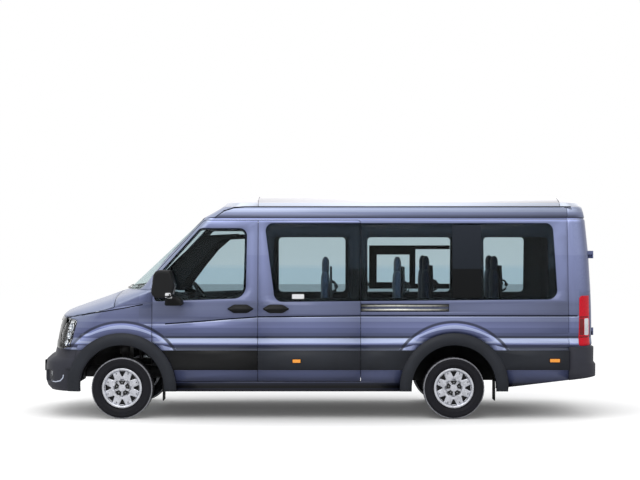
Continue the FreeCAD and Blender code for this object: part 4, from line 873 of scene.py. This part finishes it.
def seat(name, x, y, wide, node, handles=True):
    """One seat: cushion, back with its side rolls, head pads, moulded shell, frame, legs and grab handles."""
    half = wide / 2
    cushion = pad("cushion_" + name, (x - 0.245, y, CUSHION_TOP - 0.062), (0.47, wide - 0.012, 0.118), "body",
                  channels=((1, (-0.62, 0.62), 0.22, 0.06), (0, (0.15,), 0.16, 0.06)), pull=0.03)
    back = pad("back_" + name, (x - 0.075, y, CUSHION_TOP + 0.335), (0.105, wide - 0.02, 0.66), "body",
               channels=((1, (-0.62, 0.62), 0.25, 0.06), (2, (-0.35, 0.15, 0.55), 0.16, 0.04)), pull=0.03)
    pieces = [cushion, back]
    for k, middle in enumerate((y,) if wide < 0.6 else (y - wide / 4, y + wide / 4)):
        pieces.append(pad(f"head_{k}_{name}", (x - 0.072, middle, BACK_TOP - 0.128), (0.092, 0.275, 0.245), "body",
                          squareness=3.4, channels=((2, (0.0,), 0.12, 0.08),), pull=0.02))
    form = Form()
    outline = [(half - 0.012, 1.09), (half - 0.004, 1.35), (half - 0.01, 1.6), (half - 0.05, 1.7),
               (half - 0.065, 1.76)]
    ring = [(x - 0.02, y + reach, height) for reach, height in outline]
    ring += [(x - 0.02, y - reach, height) for reach, height in reversed(outline)]
    form.slab(ring, (0.024, 0, 0))
    for rail in (y - half + 0.02, y + half - 0.02):
        form.tube([(x - 0.03, rail, 1.05), (x - 0.02, rail, 0.99), (x - 0.2, rail, 0.985), (x - 0.44, rail, 0.985)],
                  0.012, 8)
    block(form, (x - 0.47, y - half + 0.01, 0.935), (x - 0.02, y + half - 0.01, 0.957))
    for leg in (max(y - half + 0.04, -0.69) + 0.02, min(y + half - 0.04, 0.69) - 0.02):
        form.slab([(x - 0.42, leg - 0.018, 0.936), (x - 0.19, leg - 0.018, 0.936), (x - 0.23, leg - 0.018, 0.64),
                   (x - 0.4, leg - 0.018, 0.64)], (0, 0.036, 0))
        block(form, (x - 0.43, leg - 0.03, 0.621), (x - 0.18, leg + 0.03, 0.643))
    if handles:
        for grip in (y - half + 0.02, y + half - 0.02):
            form.tube([(x - 0.004, grip, 1.585), (x + 0.034, grip, 1.572), (x + 0.06, grip, 1.53),
                       (x + 0.046, grip, 1.475), (x + 0.002, grip, 1.452)], 0.013, 10, flat=1.2)
            knob = [(0.0, 0.018), (0.003, 0.022), (0.025, 0.022), (0.028, 0.018)]
            form.turned((x + 0.052, grip - 0.014, 1.53), (0, 1, 0), knob, 20)
    pieces.append(form.make("shell_" + name, (SEAT_PLASTIC,), bevel=0.004))
    for piece in pieces:
        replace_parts(piece, node)


def seats():
    """Three rows in the cabin, one seat left of the aisle and two right of it, then the driver and a double bench."""
    for row in range(3):
        seat(f"left_{row}", REAR_AXLE - 1.415 + PITCH * row, -WALL_SEAT, 0.45, "passenger_seats")
        for k, y in enumerate((AISLE_RIGHT, WALL_SEAT)):
            seat(f"right_{row}_{k}", REAR_AXLE - 1.015 + PITCH * row, y, 0.45, "passenger_seats")
    seat("driver", -0.731, 0.47, 0.49, "front_seats", False)
    seat("bench", -0.731, -0.4, 0.84, "front_seats", False)


def window_frames():
    """The black frame of the right side's sliding window and the cabin lights."""
    form = Form()
    plates = ((0.692, 0.792, 1.44, 2.005), (0.792, 1.218, 1.885, 2.005), (1.218, 1.296, 1.44, 2.005),
              (1.296, 1.742, 1.955, 2.005), (0.792, 1.218, 1.44, 1.525), (1.296, 1.742, 1.44, 1.505))
    for x0, x1, z0, z1 in plates:
        patch(form, GLASS_SKIN, [(x0, z0), (x1, z0), (x1, z1), (x0, z1)], RIGHT, -0.0062, 0.006, 0, 0.12)
    form.make("sliding_window_frame", (PLASTIC,), bevel=0.002)
    for k, (x0, x1, z) in enumerate(((1.052, 1.34, 2.138), (2.2, 2.5, 2.161))):
        form = Form()
        block(form, (x0, -0.6, z - 0.012), (x1, -0.55, z + 0.012))
        block(form, (x0 - 0.02, -0.59, z + 0.012), (x1 + 0.02, -0.54, z + 0.03), 1)
        form.make(f"cabin_light_{k}", (LIGHT_STRIP, LINING), bevel=0.003)


def dark_lines():
    """Dark lines on the bonnet's shut line, a joint, and along the roof's gutter, painted shade in its groove."""
    shut = [(-2.905, 1.166), (-2.78, 1.193), (-2.6, 1.224), (-2.4, 1.256), (-2.2, 1.289), (-2.000, 1.328)]
    for name, side in SIDES:
        form = Form()
        for line, half in ((shut, 0.0055), (GUTTER_LINE, 0.008)):
            patch(form, SKIN[name], band(line, half), side, 0.0006, 0.0022, 0, 0.05)
        form.make("joint_lines_" + name, (DARK_JOINT_AND_SHADE,))


def brake_discs():
    """A dark brake disc with its bell behind the spokes of each wheel."""
    section = [(0.0, 0.196), (0.02, 0.196), (0.024, 0.19), (0.024, 0.1), (0.034, 0.09), (0.034, 0.06),
               (0.03, 0.001)]
    for end in ENDS:
        for name, side in SIDES:
            low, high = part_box(f"rim_{end}_{name}")
            centre = (low + high) / 2
            centre.y = (high.y if side > 0 else low.y) - side * 0.092
            form = Form().turned(centre, (0, side, 0), section, 64)
            form.make(f"brake_disc_{end}_{name}", (CHASSIS,), f"wheel_{end}_{name}", 0.001)


def glass_print():
    """The black print on the left glass over the pillar between the second and third pane."""
    outline = rounded((1.59, 1.405), (1.925, 2.25), 0.01)
    form = patch(Form(), GLASS_SKIN, outline, LEFT, 0.001, 0.0012, 0, 0.03)
    form.make("glass_print", (PRINT,))


def cab_linings():
    """The dark linings of the windscreen pillars and of the header over each front door."""
    upper = [(-1.8, 1.68), (-1.6, 1.88), (-1.42, 2.04), (-1.3, 2.13), (-0.9, 2.15)]
    lower = [(-0.9, 2.09), (-1.1, 2.08), (-1.25, 1.95), (-1.42, 1.74), (-1.6, 1.5), (-1.8, 1.44)]
    for name, side in SIDES:
        outline = [(x, side * (0.745 - 0.06 * (z - 1.44)), z) for x, z in upper + lower]
        form = Form().slab(outline, (0, side * 0.012, 0))
        form.make("pillar_lining_" + name, (PLASTIC,), bevel=0.004)


def wipers():
    """Two wiper arms with their blades, parked low on the windscreen."""
    skin = tree_of("windscreen", "cowl_panel", "bonnet")
    for k, (start, end) in enumerate(((0.1, 0.66), (-0.52, 0.04))):
        path = []
        for i in range(13):
            share = i / 12
            eye = Vector((-4.0, start + (end - start) * share, 1.5 + 0.02 * share))
            spot, _, _, _ = skin.ray_cast(eye, Vector((1, 0, 0)))
            path.append(spot + Vector((-0.02, 0, 0.004)))
        form = Form().tube([point + Vector((0.006, 0, 0.004)) for point in path], 0.0055, 8, 0, 0.7)
        arm = [path[-1] + Vector((-0.01, 0, -0.05))] + [path[i] + Vector((-0.014, 0, -0.012)) for i in (9, 6)]
        form.tube(arm, 0.008, 8)
        form.make(f"wiper_{k}", (BLACK,))


def front_plate():
    """The blank number plate and its holder on the front bumper."""
    skin = tree_of("front_bumper", "grille")
    spot, _, _, _ = skin.ray_cast(Vector((-5.0, 0.0, 0.56)), Vector((1, 0, 0)))
    form = Form()
    block(form, (spot.x - 0.008, -0.26, 0.505), (spot.x - 0.004, 0.26, 0.616))
    block(form, (spot.x - 0.003, -0.27, 0.495), (spot.x + 0.006, 0.27, 0.626), 1)
    form.make("front_plate", (PALE, PLASTIC), bevel=0.0015)


def laid(form, skin, low, high, corner, start, depth, kind=0, lift=0.0005):
    """A flat plate with round corners, between two y and z points, laid on a surface that looks backwards."""
    points = []
    for y, z in rounded(low, high, corner, 4):
        spot, _, _, _ = skin.ray_cast(Vector((start, y, z)), Vector((-1, 0, 0)))
        if spot is not None:
            points.append(spot + Vector((lift, 0, 0)))
    if len(points) > 2:
        form.slab(points, (depth, 0, 0), kind)


# Stations from which rays are cast forwards: behind the vehicle and behind the mirrors.
BEHIND = 4.5
BEHIND_MIRROR = -1.2


def back_end():
    """The rear doors' handle, blank plate and its lamp, and the high brake lamp."""
    left, right = tree_of("rear_door_left"), tree_of("rear_door_right")
    top = tree_of("roof", "rear_panel")
    form = Form()
    laid(form, right, (0.045, 1.09), (0.2, 1.16), 0.03, BEHIND, 0.006)
    laid(form, right, (0.06, 1.104), (0.185, 1.132), 0.012, BEHIND, 0.03, 0, 0.006)
    form.make("rear_handle", (BLACK,), "rear_door_body_right", 0.003)
    form = Form()
    laid(form, left, (-0.72, 0.905), (-0.18, 1.035), 0.012, BEHIND, 0.006)
    laid(form, left, (-0.71, 0.914), (-0.19, 1.026), 0.008, BEHIND, 0.003, 1, 0.0066)
    laid(form, left, (-0.56, 1.05), (-0.34, 1.086), 0.012, BEHIND, 0.022)
    form.make("rear_plate", (PLASTIC, PALE), "rear_door_body_left", 0.002)
    form = Form()
    laid(form, top, (-0.19, 2.33), (0.19, 2.362), 0.012, BEHIND, 0.006)
    laid(form, top, (-0.178, 2.336), (0.178, 2.356), 0.008, BEHIND, 0.006, 1, 0.0062)
    form.make("high_brake_lamp", (BLACK, DEEP_RED), bevel=0.002)


def mirrors():
    """The mirror glass behind each housing and the pale repeater on its foot."""
    for name, side in SIDES:
        skin = tree_of("front_door_trim_" + name)
        form = Form()
        for y0, y1, z0, z1, corner in ((1.055, 1.235, 1.56, 1.79, 0.022), (1.065, 1.225, 1.455, 1.545, 0.018)):
            low, high = sorted((side * y0, side * y1))
            laid(form, skin, (low, z0), (high, z1), corner, BEHIND_MIRROR, 0.002)
        form.make("mirror_glass_" + name, (SILVER,), "front_door_body_" + name)
        form = patch(Form(), skin, rounded((-1.705, 1.405), (-1.64, 1.475), 0.016), side, 0.001, 0.004, 0, 0.02)
        form.make("repeater_" + name, (PALE,), "front_door_body_" + name, 0.001)


seats()
window_frames()
for work in (dark_lines, brake_discs, glass_print, cab_linings, wipers, front_plate, back_end, mirrors):
    work()


# Floor and backdrop, lamps, world and camera.
WORLD_LIGHT = 0.72
# The floor's own glow: its least and most strength, and the reaches, in widths of its oval, between which it grows;
# its weaker glow near the vehicle is a painted shadow.
GLOW = (0.06, 0.42)
GLOW_REACH = (0.55, 1.25)


def studio():
    """A white studio: a pale floor that keeps the shadow and darkens round the vehicle with a painted shadow, a bright
    world, two soft lamps and the camera.
    """
    world = bpy.data.worlds.new("studio")
    bpy.context.scene.world = world
    tree = empty_tree(world)
    path = add_node(tree, "LightPath").outputs
    seen = counted(tree, "MAXIMUM", path["Is Camera Ray"], path["Is Transmission Ray"])
    seen = counted(tree, "MAXIMUM", seen, path["Is Glossy Ray"])
    soft, white = (add_node(tree, "Background", {"Color": (1, 1, 1, 1), "Strength": strength}).outputs[0]
                   for strength in (WORLD_LIGHT, 1.0))
    mix = add_node(tree, "MixShader", {0: seen, 1: soft, 2: white})
    add_node(tree, "OutputWorld", {"Surface": mix.outputs[0]})

    # The glow fades towards the vehicle, so that its shadow stays and the floor round it darkens as a painted shadow.
    floor_look = bpy.data.materials.new("studio_floor")
    tree = empty_tree(floor_look)
    plain = add_node(tree, "BsdfDiffuse", {"Color": (0.8, 0.8, 0.8, 1)}).outputs[0]
    oval = {"Vector": own_place(tree), "Scale": (0.27, 0.72, 1), "Location": (-0.02, 0.1, 0)}
    shape = add_node(tree, "Mapping", oval).outputs[0]
    reach = add_node(tree, "VectorMath", {0: shape}, operation="LENGTH").outputs["Value"]
    glow_with_painted_shadow = spanned(tree, reach, *GLOW_REACH, *GLOW, interpolation_type="SMOOTHSTEP")
    glow = add_node(tree, "Emission", {"Strength": glow_with_painted_shadow}).outputs[0]
    lit = add_node(tree, "AddShader", {0: plain, 1: glow}).outputs[0]
    camera_ray = add_node(tree, "LightPath").outputs["Is Camera Ray"]
    mix = add_node(tree, "MixShader", {0: camera_ray, 1: plain, 2: lit})
    add_node(tree, "OutputMaterial", {"Surface": mix.outputs[0]})
    bpy.ops.mesh.primitive_plane_add(size=90, location=(0, 0, -0.002))
    floor = bpy.context.object
    floor.name = "studio_floor"
    floor.data.materials.append(floor_look)

    for name, place, size, power in (
        ("key", (-2.0, -5.0, 9.0), 9.0, 460), ("fill", (3.0, 7.0, 7.0), 8.0, 170),
    ):
        lamp = bpy.data.lights.new(name, "AREA")
        lamp.size, lamp.energy = size, power
        thing = new_object(name, lamp)
        thing.location = place
        thing.rotation_euler = (Vector((0, 0, 1.0)) - Vector(place)).to_track_quat("-Z", "Y").to_euler()

    lens = bpy.data.cameras.new("camera")
    lens.lens, lens.sensor_width, lens.clip_end = 73, 36, 200
    camera = new_object("camera", lens)
    camera.location = (0.052, -16.0, 2.075)
    camera.rotation_euler = (math.radians(90), 0, 0)
    bpy.context.scene.camera = camera
    bpy.context.scene.view_settings.view_transform = "Standard"


studio()
